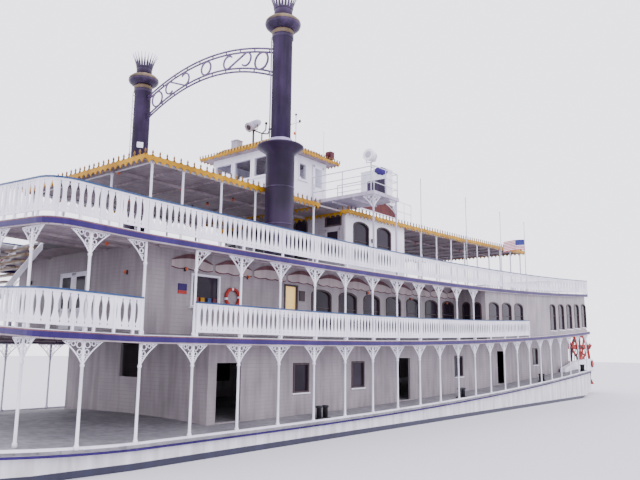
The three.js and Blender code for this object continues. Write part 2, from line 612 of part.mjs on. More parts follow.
// Stacks: lower drum, umbrella collar, slim upper stack, two rings and a flared crown
const CROWN = 12; // sides
const STACK_PROFILE = [ // radius, height above the middle of deck 3's edge
  [STACK.foot, 0.45], [STACK.lower, 0.5], [STACK.lower, 4.5], [0.95, 4.84], [0.95, 4.9], [0.42, 5.24],
  [STACK.upper, 9.68], [0.45, 9.7], [0.45, 9.96], [0.39, 9.98], [0.62, 10.08], [0.7, 10.3],
  [0.6, 10.52], [0.38, 10.7], [0.43, 11.2], [0.6, 11.8], [0.5, 11.8], [0.34, 11.2],
];
const CROWN_FLOOR = BAND_3 + 11.15;

function stack() {
  const body = STACK_PROFILE.map(([r, z]) => [r, BAND_3 + z]);
  const profile = [[0, DECK_3], [STACK.foot, DECK_3], ...body, [0, CROWN_FLOOR]];
  const standing = lathe(profile, CROWN).translate([STACK.x, STACK.y, 0]);
  return cut(standing, [slab(stations(STERN, FIRST_COLUMN), () => HALF_BEAM, DECK_3 - 1, DECK_3 + GAP)]);
}

// Arch between the stacks: two curved chords and the scrolls between them
const ARCH = { top: 10.02, topDrop: 0.045, low: 9.16, lowDrop: 0.055, end: STACK.y - 0.426, half: 0.07,
  bar: 0.04, ring: 0.09 };

function stackArch() {
  const { top, topDrop, low, lowDrop, end, half, bar } = ARCH;
  const section = [[-half, -bar], [half, -bar], [half, bar], [-half, bar]];
  const ys = [-1, -0.8, -0.6, -0.3, 0, 0.3, 0.6, 0.8, 1].map((t) => t * end);
  const chord = (z, drop) => loft(ys.map((y) => {
    const h = BAND_3 + z - drop * y * y;
    return section.map(([x, v]) => [STACK.x + x, y, h + v]);
  }));
  const ring = (y) => {
    const middle = BAND_3 + (top + low) / 2 - ((topDrop + lowDrop) / 2) * y * y;
    const radius = (top - low + (lowDrop - topDrop) * y * y) / 2;
    const angles = Array.from({ length: 10 }, (_, i) => (i * Math.PI) / 5);
    const turn = (r) => angles.map((a) => [y + r * Math.sin(a), middle + r * Math.cos(a)]);
    const hole = prism(turn(radius - ARCH.ring), 'x', STACK.x - 1, STACK.x + 1);
    return cut(prism(turn(radius), 'x', STACK.x - 0.03, STACK.x + 0.03), [hole]);
  };
  return union([chord(top, topDrop), chord(low, lowDrop), ...[-3.1, -1.55, 0, 1.55, 3.1].map(ring)]);
}

// Beams that carry the wheel's shaft aft of the hull, lying on the main deck beside its house
function wheelBeam() {
  const { z, shaft, beamY } = WHEEL;
  const y = [beamY - 0.2, beamY + 0.2];
  const deck = (x) => MAIN_DECK + rise(x, y[0]) + GAP;
  const ends = [STERN + 3.2, column(20), TRANSOM];
  const outline = [
    ...ends.map((x) => [x, deck(x)]), [WHEEL_X - 0.5, z - 0.6], [WHEEL_X - 0.5, z + 0.15],
    [WHEEL_X - 0.3, z + 0.4], [WHEEL_X + 0.3, z + 0.4], [TRANSOM, deck(STERN) + 0.6],
    [ends[0], deck(ends[0]) + 0.3]];
  const bearing = shaft + 0.012;
  const bore = new THREE.CylinderGeometry(bearing, bearing, 2, 24).translate(WHEEL_X, beamY, z);
  return cut(prism(outline, 'y', ...y), [fromGeometry(bore)]);
}

// The wheel about its own shaft, which lies along Y
function paddleWheel() {
  const { radius, half, shaft, arms, flanges, board, beamY } = WHEEL;
  const parts = [fromGeometry(new THREE.CylinderGeometry(shaft, shaft, 2 * (beamY + 0.3), 24))];
  const angles = Array.from({ length: arms }, (_, i) => (i * 2 * Math.PI) / arms);
  const polygon = (r) => angles.map((a) => [r * Math.cos(a), r * Math.sin(a)]);
  const rim = radius - board - 0.15;
  for (let f = 0; f < flanges; f++) {
    const y = -half + 0.15 + ((2 * half - 0.3) * f) / (flanges - 1);
    parts.push(prism(polygon(0.6), 'y', y - 0.12, y + 0.12));
    const inside = prism(polygon(rim - 0.1), 'y', y - 1, y + 1);
    parts.push(cut(prism(polygon(rim + 0.1), 'y', y - 0.05, y + 0.05), [inside]));
    for (const a of angles) {
      const arm = new THREE.BoxGeometry(radius - 0.25, 0.12, 0.16).translate((radius + 0.15) / 2, y, 0);
      parts.push(fromGeometry(arm.rotateY(a)));
    }
  }
  for (const a of angles) {
    const plank = new THREE.BoxGeometry(board, 2 * half, 0.06).translate(radius - board / 2, 0, 0.1);
    parts.push(fromGeometry(plank.rotateY(a)));
  }
  return union(parts);
}

// A rudder about its own stock
function rudder() {
  const { stock, head, top, bottom, ahead, behind } = RUDDER;
  const half = [[ahead, 0.03], [0.1, 0.09], [-behind, 0.03]];
  const section = [...half.map(([x, y]) => [x, -y]), ...half.reverse()];
  return prism(section, 'z', bottom, top).add(cylinder(0, 0, top - 0.1, head, stock, 12));
}

// Doors hang on the outer face of their wall and lap its doorway all round
const LEAF = { thick: 0.05, height: 2.1, lap: 0.04, clear: 0.014, sill: 0.03, meeting: 0.008 };
const leaf = (width, height) => box(0, LEAF.thick, 0, width, 0, height);

// Small deck fittings
function drive() {
  const back = STERN + 1.2;
  const top = MAIN_DECK + rise(back, 0) + 1.5;
  return box(back, STERN + 4.6, -1.5, 1.5, footing(MAIN_DECK, back, 0, 0.01), top);
}

function capstan() {
  const x = FIRST_COLUMN + 5.4;
  const deck = MAIN_DECK + rise(x, 0);
  const profile = [
    [0, -0.04], [0.34, -0.04], [0.34, 0.12], [0.2, 0.25], [0.18, 0.6], [0.3, 0.72], [0.3, 0.85], [0, 0.85]];
  const body = lathe(profile.map(([r, z]) => [r, deck + z]), 12).translate([x, 0, 0]);
  return cut(body, [mainDeckSlab(MAIN_DECK - 1, MAIN_DECK + GAP)]);
}

const cabinet = () => box(WING.front - 1.75, WING.front - 1.14, 4.55, 5.97, BRIDGE + GAP, BRIDGE + 1.34);

function signBoard() {
  const x = TEXAS.back + 1.25;
  const top = ROOF + sheer(x);
  const y = [3.17, 3.23];
  const board = box(x - 1.8, x + 1.8, ...y, top + 0.55, top + 1.28);
  const legs = [x - 1.5, x + 1.5].map((v) => (
    box(v - 0.03, v + 0.03, ...y, ROOF + sheer(v - 0.03) + GAP, top + 0.6)));
  return union([board, ...legs]);
}

function flagstaff() {
  const x = STERN + 0.3;
  return cylinder(x, 0, footing(DECK_3, x, 0, 0.05), DECK_3 + 2.9, 0.045, 8);
}

// A small flag on the aftermost of the port poles, streaming forward and inboard in slow waves
const FLAG = { length: 1.4, low: 11.95, high: 12.62, half: 0.01, heading: [0.62, -0.785],
  sway: 0.09, sag: 0.12 };

function flag() {
  const { length, low, high, half, heading: [hx, hy], sway, sag } = FLAG;
  const x = POLES[POLES.length - 1] + POLE.radius + half + GAP;
  const last = 8; // pleats
  return loft(Array.from({ length: last + 1 }, (_, i) => {
    const along = (length * i) / last;
    const swing = sway * Math.sin(i * 0.9) * (i / last);
    const face = (s) => {
      const off = swing + s * half;
      return [x + hx * along - hy * off, RAIL_Y + hy * along + hx * off];
    };
    const drop = sag * (i / last) ** 2;
    return [[...face(-1), low - drop], [...face(1), low - drop], [...face(1), high - drop],
      [...face(-1), high - drop]];
  }));
}

// The scene graph: one group for each level of the boat
const boat = new THREE.Group();
const tier = {};
for (const level of ['hull', 'main', 'second', 'third', 'top']) {
  tier[level] = new THREE.Group();
  boat.add(tier[level]);
}

function add(level, name, body, [color, roughness, metalness], place = [0, 0, 0]) {
  const { vertProperties, triVerts } = body.getMesh();
  const geometry = new THREE.BufferGeometry();
  geometry.setAttribute('position', new THREE.BufferAttribute(vertProperties.map((v) => v * MM), 3));
  geometry.setIndex(new THREE.BufferAttribute(triVerts, 1));
  geometry.computeVertexNormals();
  const mesh = new THREE.Mesh(geometry, new THREE.MeshStandardMaterial({ color, roughness, metalness }));
  mesh.name = name;
  mesh.position.set(...place.map((v) => v * MM));
  tier[level].add(mesh);
}

function addPair(level, name, body, material) {
  add(level, `${name}_port`, body, material);
  add(level, `${name}_starboard`, mirrored(body), material);
}

add('hull', 'hull', hull(), HULL_WHITE);
add('hull', 'paddle_wheel', paddleWheel(), RED, [WHEEL_X, 0, WHEEL.z]);
addPair('hull', 'wheel_beam', wheelBeam(), RED);
add('hull', 'rudder_port', rudder(), DARK_STEEL, [RUDDER.x, RUDDER.y, 0]);
add('hull', 'rudder_starboard', rudder(), DARK_STEEL, [RUDDER.x, -RUDDER.y, 0]);

add('main', 'main_deck', mainDeck(), DECK_GREY);
add('main', 'frame_2_bow', bowFrame(MAIN_DECK, DECK_2, []), WHITE);
addPair('main', 'frame_2', sideFrame(MAIN_DECK, DECK_2, 21, [[1, 0.05]]), WHITE);
add('main', 'main_house', mainHouse(), WHITE);
add('main', 'wheel_engine', drive(), DARK_STEEL);
add('main', 'capstan', capstan(), DARK_STEEL);

add('second', 'deck_2', upperDeck(DECK_2), DECK_GREY);
add('second', 'frame_3_bow', bowFrame(DECK_2, DECK_3, [firstBracket(DECK_3)]), WHITE);
addPair('second', 'frame_3', sideFrame(DECK_2, DECK_3, 11, [[0.05, 0.05], [1, 0.05]]), WHITE);
add('second', 'rail_2_bow', bowRailing(DECK_2), WHITE);
addPair('second', 'rail_2', sideRailing(DECK_2, column(15), column(1)), WHITE);
add('second', 'bow_stair', bowStair(), WOOD);
add('second', 'saloon_front', saloonFront(), WHITE);
addPair('second', 'saloon', saloonSide(), WHITE);
addPair('second', 'saloon_aft', saloonAftSide(), WHITE);
add('second', 'saloon_stern', saloonStern(), WHITE);

add('third', 'deck_3', cut(upperDeck(DECK_3), [stairWell()]), DECK_GREY);
add('third', 'rail_3_bow', bowRailing(DECK_3), WHITE);
addPair('third', 'rail_3', union([sideRailing(DECK_3, STERN, FIRST_COLUMN), ...POLES.map(poleAt)]), WHITE);
add('third', 'rail_3_stern', sternRailing(DECK_3), WHITE);
add('third', 'texas_front', texasFront(), WHITE);
addPair('third', 'texas', texasSide(), WHITE);
add('third', 'texas_back', texasBack(), WHITE);
add('third', 'posts_forward', forwardPosts(), WHITE);
addPair('third', 'posts_aft', aftPosts(), WHITE);
addPair('third', 'stack', stack(), STACK_PURPLE);
add('third', 'flagstaff', flagstaff(), WHITE);
add('third', 'flag', flag(), RED);

add('top', 'roof_forward', roofForward(), GOLD);
add('top', 'roof_aft', roofPlate(ROOF_AFT), GOLD);
add('top', 'bridge', bridge(), WHITE);
addPair('top', 'wing_rail', wingRail(), WHITE);
add('top', 'cabinet', cabinet(), WHITE);
add('top', 'pilothouse', pilothouse(), WHITE);
add('top', 'pilothouse_roof', pilothouseRoof(), GOLD);
add('top', 'stack_arch', stackArch(), STACK_PURPLE);
add('top', 'sign_board', signBoard(), RED);

// A pair of door leaves, port and starboard, each hung at its hinge: opens is the way that the
// port leaf reaches across from there
function addDoors(level, name, { x, y, sill, opens, width }) {
  for (const [side, s] of [['port', 1], ['starboard', -1]]) {
    const body = opens * s > 0 ? leaf(width, LEAF.height) : mirrored(leaf(width, LEAF.height));
    add(level, `${name}_${side}`, body, WOOD, [x + LEAF.clear, s * y, sill + LEAF.sill]);
  }
}

addDoors('second', 'saloon_door', {
  x: SALOON.front, y: DOORWAY.width + LEAF.lap, sill: DECK_2 + rise(SALOON.front, 0), opens: -1,
  width: DOORWAY.width + LEAF.lap - LEAF.meeting,
});
addDoors('third', 'texas_door', {
  x: TEXAS.front, y: TEXAS.doorY - DOORWAY.width / 2 - LEAF.lap,
  sill: DECK_3 + rise(TEXAS.front, TEXAS.doorY - DOORWAY.width / 2), opens: 1,
  width: DOORWAY.width + 2 * LEAF.lap,
});
for (const [side, s] of [['port', 1], ['starboard', -1]]) {
  const hinge = [PILOT.back + 0.3 - LEAF.lap, s * (PILOT.half + LEAF.clear), BRIDGE + LEAF.sill];
  const body = box(0, PILOT.door + 2 * LEAF.lap, 0, s * LEAF.thick, 0, 1.96);
  add('top', `pilothouse_door_${side}`, body, WOOD, hinge);
}

export default boat;
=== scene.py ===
"""Looks of a sternwheel paddle boat at half size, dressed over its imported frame.

Lengths are written in metres of the full-size boat and halved as each mesh is made.
+X is the bow, +Y port, +Z up. Port and starboard share every function.
"""
import math

import bpy
from mathutils import Matrix, Vector


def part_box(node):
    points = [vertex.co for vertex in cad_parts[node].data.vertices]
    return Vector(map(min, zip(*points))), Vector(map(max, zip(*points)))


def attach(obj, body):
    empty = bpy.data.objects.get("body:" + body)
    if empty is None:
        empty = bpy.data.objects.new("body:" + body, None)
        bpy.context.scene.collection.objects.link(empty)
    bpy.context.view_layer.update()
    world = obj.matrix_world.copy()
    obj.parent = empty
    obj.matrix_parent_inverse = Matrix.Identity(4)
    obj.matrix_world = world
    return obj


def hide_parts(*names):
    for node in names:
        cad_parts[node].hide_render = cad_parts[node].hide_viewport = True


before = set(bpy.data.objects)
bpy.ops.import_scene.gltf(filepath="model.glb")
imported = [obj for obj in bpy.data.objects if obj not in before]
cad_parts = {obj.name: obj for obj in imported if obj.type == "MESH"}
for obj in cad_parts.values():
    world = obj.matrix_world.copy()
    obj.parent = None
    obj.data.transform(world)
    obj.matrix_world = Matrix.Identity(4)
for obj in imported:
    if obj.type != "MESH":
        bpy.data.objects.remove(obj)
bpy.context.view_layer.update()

# Driving dimensions, the same as the frame's
SCALE = 0.5
HALF_BEAM = 6.1
BAY = 2.0
FIRST_COLUMN = 20.95
STERN = FIRST_COLUMN - 42.9
DECK_FRONT = FIRST_COLUMN + 3.03
BOW_TIP = 28.95
CORNER = 0.75
MAIN_DECK, DECK_2, DECK_3, ROOF, BRIDGE = 2.6, 5.65, 8.63, 11.75, 12.38
SLAB = 0.08
EDGE_BEAM = 0.24
RAIL_HEIGHT = 1.09
BAND_3 = DECK_3 - EDGE_BEAM / 2
CEILING_3 = ROOF - 0.1
WATERLINE = 1.9
SIDES = (("port", 1), ("starboard", -1))


def column(n):
    return FIRST_COLUMN - BAY * n


# Camera: where the photograph was taken from, in full-size metres and degrees
EYE = (32.48, 21.82, 5.26)
LENS = 36.43
YAW, PITCH, ROLL = 38.63, 9.69, 0.6


def put(name, data):
    made = bpy.data.objects.new(name, data)
    bpy.context.collection.objects.link(made)
    return made


def make_camera():
    yaw, pitch, roll = (math.radians(v) for v in (YAW, PITCH, ROLL))
    level = Vector((-math.cos(yaw), -math.sin(yaw), 0))
    right = Vector((-math.sin(yaw), math.cos(yaw), 0))
    ahead = level * math.cos(pitch) + Vector((0, 0, math.sin(pitch)))
    up = -level * math.sin(pitch) + Vector((0, 0, math.cos(pitch)))
    x_axis = right * math.cos(roll) + up * math.sin(roll)
    y_axis = up * math.cos(roll) - right * math.sin(roll)
    data = bpy.data.cameras.new("camera")
    data.lens = LENS
    data.sensor_width = 36.0
    data.clip_end = 500
    camera = put("camera", data)
    turn = Matrix((x_axis, y_axis, -ahead)).transposed().to_4x4()
    camera.matrix_world = Matrix.Translation(Vector(EYE) * SCALE) @ turn
    bpy.context.scene.camera = camera


make_camera()


# Deck form: sheer along the boat in straight stretches, camber across it; the roofs are flat across
STATIONS = [column(n) for n in range(-4, 21, 2)] + [STERN]
LEVEL_BACK, AFT_SHEER, BOW_SHEER = FIRST_COLUMN - 4.2, 0.0009, 0.006
CROWN, KNEE, KNEE_HEIGHT = 0.22, 3, 0.167


def true_sheer(x):
    return AFT_SHEER * max(0.0, LEVEL_BACK - x) ** 2 + BOW_SHEER * max(0.0, x - FIRST_COLUMN) ** 2


def sheer(x, y=0.0):
    """How far a deck is raised at x; y is there so that it can be called as rise is."""
    for ahead, behind in zip(STATIONS, STATIONS[1:]):
        if x >= behind:
            z0, z1 = true_sheer(ahead), true_sheer(behind)
            return z0 + (z1 - z0) * (ahead - x) / (ahead - behind)
    return true_sheer(x)


def camber(y):
    a = min(abs(y), HALF_BEAM)
    if a < KNEE:
        return CROWN - (CROWN - KNEE_HEIGHT) * a / KNEE
    return KNEE_HEIGHT * (HALF_BEAM - a) / (HALF_BEAM - KNEE)


def rise(x, y):
    return sheer(x) + camber(y)


# Points, outlines and plan paths
def steps(x0, x1, size=1.0):
    count = max(1, round(abs(x1 - x0) / size))
    return [x0 + (x1 - x0) * i / count for i in range(count + 1)]


def straight(x0, x1, y):
    return [(x, y) for x in steps(x0, x1)]


def around(count):
    return [2 * math.pi * k / count for k in range(count)]


def ring_points(cu, cv, radius, count=8):
    return [(cu + radius * math.cos(a), cv + radius * math.sin(a)) for a in around(count)]


def rect(u0, u1, v0, v1):
    return [(u0, v0), (u1, v0), (u1, v1), (u0, v1)]


def shifted(place, out):
    """The same place function, moved out of its wall."""
    return lambda u, v, w: place(u, v, w + out)


def bow_path(inset):
    """From the port side round the two front corners to starboard."""
    r, front, side = CORNER - inset, DECK_FRONT - inset, HALF_BEAM - inset
    turn = [(DECK_FRONT - CORNER + r * math.sin(a), HALF_BEAM - CORNER + r * math.cos(a))
            for a in (math.pi / 2 * i / 5 for i in range(6))]
    port = [(FIRST_COLUMN, side), (FIRST_COLUMN + 1.1, side), *turn, (front, 3.0), (front, 1.5)]
    return port + [(front, 0.0)] + [(x, -y) for x, y in reversed(port)]


def along_path(path, pitch, start=0.5):
    """Places at an even pitch along a plan path, each with the path's direction, and the pitch used."""
    lengths = [math.dist(a, b) for a, b in zip(path, path[1:])]
    total = sum(lengths)
    count = max(1, round(total / pitch))
    places, i, passed = [], 0, 0.0
    for k in range(count):
        at = total * (k + start) / count
        while i < len(lengths) - 1 and passed + lengths[i] < at:
            passed += lengths[i]
            i += 1
        (x0, y0), (x1, y1), length = path[i], path[i + 1], lengths[i]
        t = (at - passed) / length
        places.append((x0 + (x1 - x0) * t, y0 + (y1 - y0) * t, (x1 - x0) / length, (y1 - y0) / length))
    return places, total / count


class Shape:
    """Gathers faces in full-size metres, each with a material, and becomes one piece."""

    def __init__(self):
        self.verts, self.faces, self.slots, self.smooth = [], [], [], []

    def add(self, verts, faces, material, smooth=False):
        base = len(self.verts)
        self.verts += [tuple(v) for v in verts]
        self.faces += [tuple(base + i for i in f) for f in faces]
        self.slots += [material] * len(faces)
        self.smooth += [smooth] * len(faces)

    def loft(self, rings, material, smooth=False, caps=True, closed=True):
        k = len(rings[0])
        faces = []
        for s in range(len(rings) - 1):
            for i in range(k if closed else k - 1):
                j = (i + 1) % k
                faces.append((s * k + i, s * k + j, (s + 1) * k + j, (s + 1) * k + i))
        if caps:
            faces.append(tuple(range(k - 1, -1, -1)))
            faces.append(tuple((len(rings) - 1) * k + i for i in range(k)))
        self.add([v for ring in rings for v in ring], faces, material, smooth)

    def box(self, x0, x1, y0, y1, z0, z1, material):
        self.loft([[(x, y, z) for x, y in rect(x0, x1, y0, y1)] for z in (z0, z1)], material)

    def ribbon(self, path, half, low, high, material, form=rise):
        """An upright band along a plan path, lifted by the form of the deck or roof."""
        rings = []
        for i, (x, y) in enumerate(path):
            (ax, ay), (bx, by) = path[max(0, i - 1)], path[min(len(path) - 1, i + 1)]
            length = math.hypot(bx - ax, by - ay)
            nx, ny = -(by - ay) / length * half, (bx - ax) / length * half
            z = form(x, y)
            rings.append([(x - nx, y - ny, low + z), (x + nx, y + ny, low + z),
                          (x + nx, y + ny, high + z), (x - nx, y - ny, high + z)])
        self.loft(rings, material)

    def tube(self, points, radius, material, sides=6, smooth=True):
        points = [Vector(p) for p in points]
        rings = []
        for i, p in enumerate(points):
            d = (points[min(i + 1, len(points) - 1)] - points[max(i - 1, 0)]).normalized()
            u = d.cross(Vector((0, 0, 1)) if abs(d.z) < 0.9 else Vector((1, 0, 0))).normalized()
            v = d.cross(u)
            rings.append([p + (u * math.cos(t) + v * math.sin(t)) * radius for t in around(sides)])
        self.loft(rings, material, smooth)

    def pole(self, x, y, z0, z1, radius, material, sides=6):
        self.tube([(x, y, z0), (x, y, z1)], radius, material, sides)

    def lathe(self, profile, material, sides, at, axis="z"):
        """A turned form; profile is (radius, place along the axis), from the place at."""
        rings = []
        for r, h in profile:
            ring = []
            for a in around(sides):
                c, s = r * math.cos(a), r * math.sin(a)
                p = {"z": (c, s, h), "y": (s, h, c), "x": (h, c, s)}[axis]
                ring.append(tuple(p[i] + at[i] for i in range(3)))
            rings.append(ring)
        self.loft(rings, material, True)

    def plate(self, outline, place, thick, material):
        """A flat outline of (u, v) points, thickened; place(u, v, w) gives its position."""
        self.loft([[place(u, v, w) for u, v in outline] for w in (-thick / 2, thick / 2)], material)

    def stroke(self, points, width, place, thick, material, closed=False):
        """A band of even width along (u, v) points in a plane."""
        rings = []
        last = len(points) - 1
        for i, (u, v) in enumerate(points):
            au, av = points[i - 1] if i or closed else points[0]
            bu, bv = points[(i + 1) % (last + 1)] if i < last or closed else points[last]
            length = math.hypot(bu - au, bv - av) or 1.0
            nu, nv = -(bv - av) / length * width / 2, (bu - au) / length * width / 2
            rings.append([place(u + nu, v + nv, -thick / 2), place(u - nu, v - nv, -thick / 2),
                          place(u - nu, v - nv, thick / 2), place(u + nu, v + nv, thick / 2)])
        if closed:
            rings.append(rings[0])
        self.loft(rings, material, caps=not closed)

    def piece(self, name, replaces=(), body="boat"):
        mesh = bpy.data.meshes.new(name)
        mesh.from_pydata([[c * SCALE for c in v] for v in self.verts], [], self.faces)
        names = list(dict.fromkeys(self.slots))
        for material in names:
            mesh.materials.append(MATERIALS[material])
        for poly, material, smooth in zip(mesh.polygons, self.slots, self.smooth):
            poly.material_index = names.index(material)
            poly.use_smooth = smooth
        mesh.update()
        made = put(name, mesh)
        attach(made, body)
        if replaces:
            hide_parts(*replaces)
        return made


# Materials: every one is worked out by nodes from the object's own coordinates
class Finish:
    """A material in the making."""

    def __init__(self, name, roughness, metallic=0.0):
        self.material = bpy.data.materials.new(name)
        self.material.use_nodes = True
        self.nodes, self.links = self.material.node_tree.nodes, self.material.node_tree.links
        self.shader = self.nodes["Principled BSDF"]
        self.set("Metallic", metallic)
        self.set("Roughness", roughness)
        self.coords = self.nodes.new("ShaderNodeTexCoord").outputs["Object"]

    def set(self, socket, value):
        self.shader.inputs[socket].default_value = value

    def node(self, kind, inputs, **settings):
        """A new node: each input is another node's output, which is linked, or a value, which is set."""
        made = self.nodes.new(f"ShaderNode{kind}")
        for name, value in settings.items():
            setattr(made, name, value)
        for name, value in inputs.items():
            if isinstance(value, bpy.types.NodeSocket):
                self.links.new(value, made.inputs[name])
            else:
                made.inputs[name].default_value = value
        return made

    def noise(self, scale, stretch=(1, 1, 1), detail=4.0):
        place = self.node("Mapping", {"Vector": self.coords, "Scale": stretch}).outputs["Vector"]
        return self.node("TexNoise", {"Vector": place, "Scale": scale, "Detail": detail}).outputs["Fac"]

    def ramp(self, value, stops, interpolation="LINEAR"):
        node = self.node("ValToRGB", {"Fac": value})
        node.color_ramp.interpolation = interpolation
        elements = node.color_ramp.elements
        while len(elements) < len(stops):
            elements.new(0.5)
        for element, (position, colour) in zip(elements, stops):
            element.position = position
            element.color = (*colour, 1)
        return node.outputs["Color"]

    def mix(self, factor, a, b, kind="MIX"):
        inputs = {"Factor": factor, "A": a, "B": b}
        return self.node("Mix", inputs, data_type="RGBA", blend_type=kind).outputs["Result"]

    def rough(self, value, low, high):
        span = self.node("MapRange", {"Value": value, "To Min": low, "To Max": high})
        self.links.new(span.outputs["Result"], self.shader.inputs["Roughness"])

    def bump(self, height, strength, distance):
        """Relief, over any that is there already."""
        node = self.node("Bump", {"Height": height, "Strength": strength, "Distance": distance})
        normal = self.shader.inputs["Normal"]
        if normal.is_linked:
            self.links.new(normal.links[0].from_socket, node.inputs["Normal"])
        self.links.new(node.outputs["Normal"], normal)

    def along(self, axis):
        return self.node("SeparateXYZ", {"Vector": self.coords}).outputs[axis]

    def boards(self, axis, size):
        """How far a place is into the dark joint between boards, and the boards' relief."""
        count = self.node("Math", {0: self.along(axis), 1: 1 / (size * SCALE)}, operation="MULTIPLY")
        part = self.node("Math", {0: count.outputs["Value"]}, operation="FRACT").outputs["Value"]
        seam = self.node("MapRange", {"Value": part, "From Min": 0.88, "From Max": 1.0})
        return seam.outputs["Result"], part

    def done(self, tone):
        self.links.new(tone, self.shader.inputs["Base Color"])
        return self.material


def dim(colour, share):
    return tuple(c * share for c in colour)


def painted(name, colour, shade, roughness=0.45, streaks=0.35, metallic=0.0, boards=None):
    """Paint with slow patches, fine rain streaks and, if boards is (axis, size, depth), board joints."""
    made = Finish(name, roughness, metallic)
    made.set("Specular IOR Level", 0.2)
    patches = made.noise(1.6, detail=5)
    base = made.ramp(patches, [(0.3, shade), (0.62, colour)])
    rain = made.noise(7.0, (1, 1, 0.12), 3)
    dirt = made.ramp(rain, [(0.35, tuple(min(1.0, c * 1.15) for c in shade)), (0.6, (1, 1, 1))])
    tone = made.mix(streaks, base, dirt, "MULTIPLY")
    grain = made.noise(60.0, detail=2)
    made.rough(grain, roughness - 0.1, roughness + 0.15)
    made.bump(grain, 0.08, 0.002)
    if boards:
        axis, size, depth = boards
        seam, relief = made.boards(axis, size)
        joint = made.ramp(patches, [(0.0, dim(shade, depth)), (1.0, dim(colour, depth))])
        tone = made.mix(seam, tone, joint)
        made.bump(relief, 0.5, 0.01)
    return made.done(tone)


def hull_paint(name):
    """White topsides over a dark boot top and a red bottom, streaked with dirt, on uneven plates."""
    made = Finish(name, 0.45)
    height = made.node("MapRange", {"Value": made.along("Z"), "From Max": 4.0 * SCALE}).outputs["Result"]
    stops = [(0.0, (0.24, 0.05, 0.04)), (0.44, (0.02, 0.02, 0.05)), (0.52, (0.72, 0.71, 0.76))]
    bands = made.ramp(height, stops, "CONSTANT")
    rain = made.noise(5.0, (1, 1, 0.15), 5)
    dirt = made.ramp(rain, [(0.38, (0.55, 0.5, 0.47)), (0.62, (1, 1, 1))])
    made.bump(made.noise(1.2, detail=1), 0.25, 0.02)
    made.rough(rain, 0.35, 0.6)
    return made.done(made.mix(0.6, bands, dirt, "MULTIPLY"))


def glass(name, colour):
    """A pane of one colour, faintly uneven: dark, it shows a dim room behind it; pale, it is a painted
    reflection of the sky.
    """
    made = Finish(name, 0.08)
    made.set("IOR", 1.2)
    clouds = made.noise(1.3, detail=2)
    made.bump(clouds, 0.05, 0.01)
    return made.done(made.ramp(clouds, [(0.35, dim(colour, 0.5)), (0.7, colour)]))


def clear_glass(name):
    """Thin window glass, seen through, with faint clouds of dust."""
    made = Finish(name, 0.05)
    made.set("Transmission Weight", 1.0)
    made.set("IOR", 1.1)
    return made.done(made.ramp(made.noise(2.0), [(0.3, (0.8, 0.8, 0.86)), (0.7, (0.95, 0.95, 1.0))]))


def wooden(name, colour, dark, stretch):
    made = Finish(name, 0.5)
    made.set("Coat Weight", 0.2)
    grain = made.noise(14.0, stretch, 6)
    made.rough(grain, 0.35, 0.65)
    made.bump(grain, 0.3, 0.003)
    return made.done(made.ramp(grain, [(0.3, dark), (0.7, colour)]))


def cloth(name, colour, shade):
    """Bunting or canvas: a fine weave over slow shade, dull and slightly ribbed."""
    made = Finish(name, 0.85)
    made.bump(made.noise(260.0, (1, 1, 0.4), 1), 0.25, 0.001)
    return made.done(made.ramp(made.noise(9.0), [(0.3, shade), (0.7, colour)]))


def lamp_glass(name, colour, strength):
    made = Finish(name, 0.3)
    made.set("Emission Color", (*colour, 1))
    made.set("Emission Strength", strength)
    return made.done(made.ramp(made.noise(3.0), [(0.2, dim(colour, 0.7)), (0.8, colour)]))


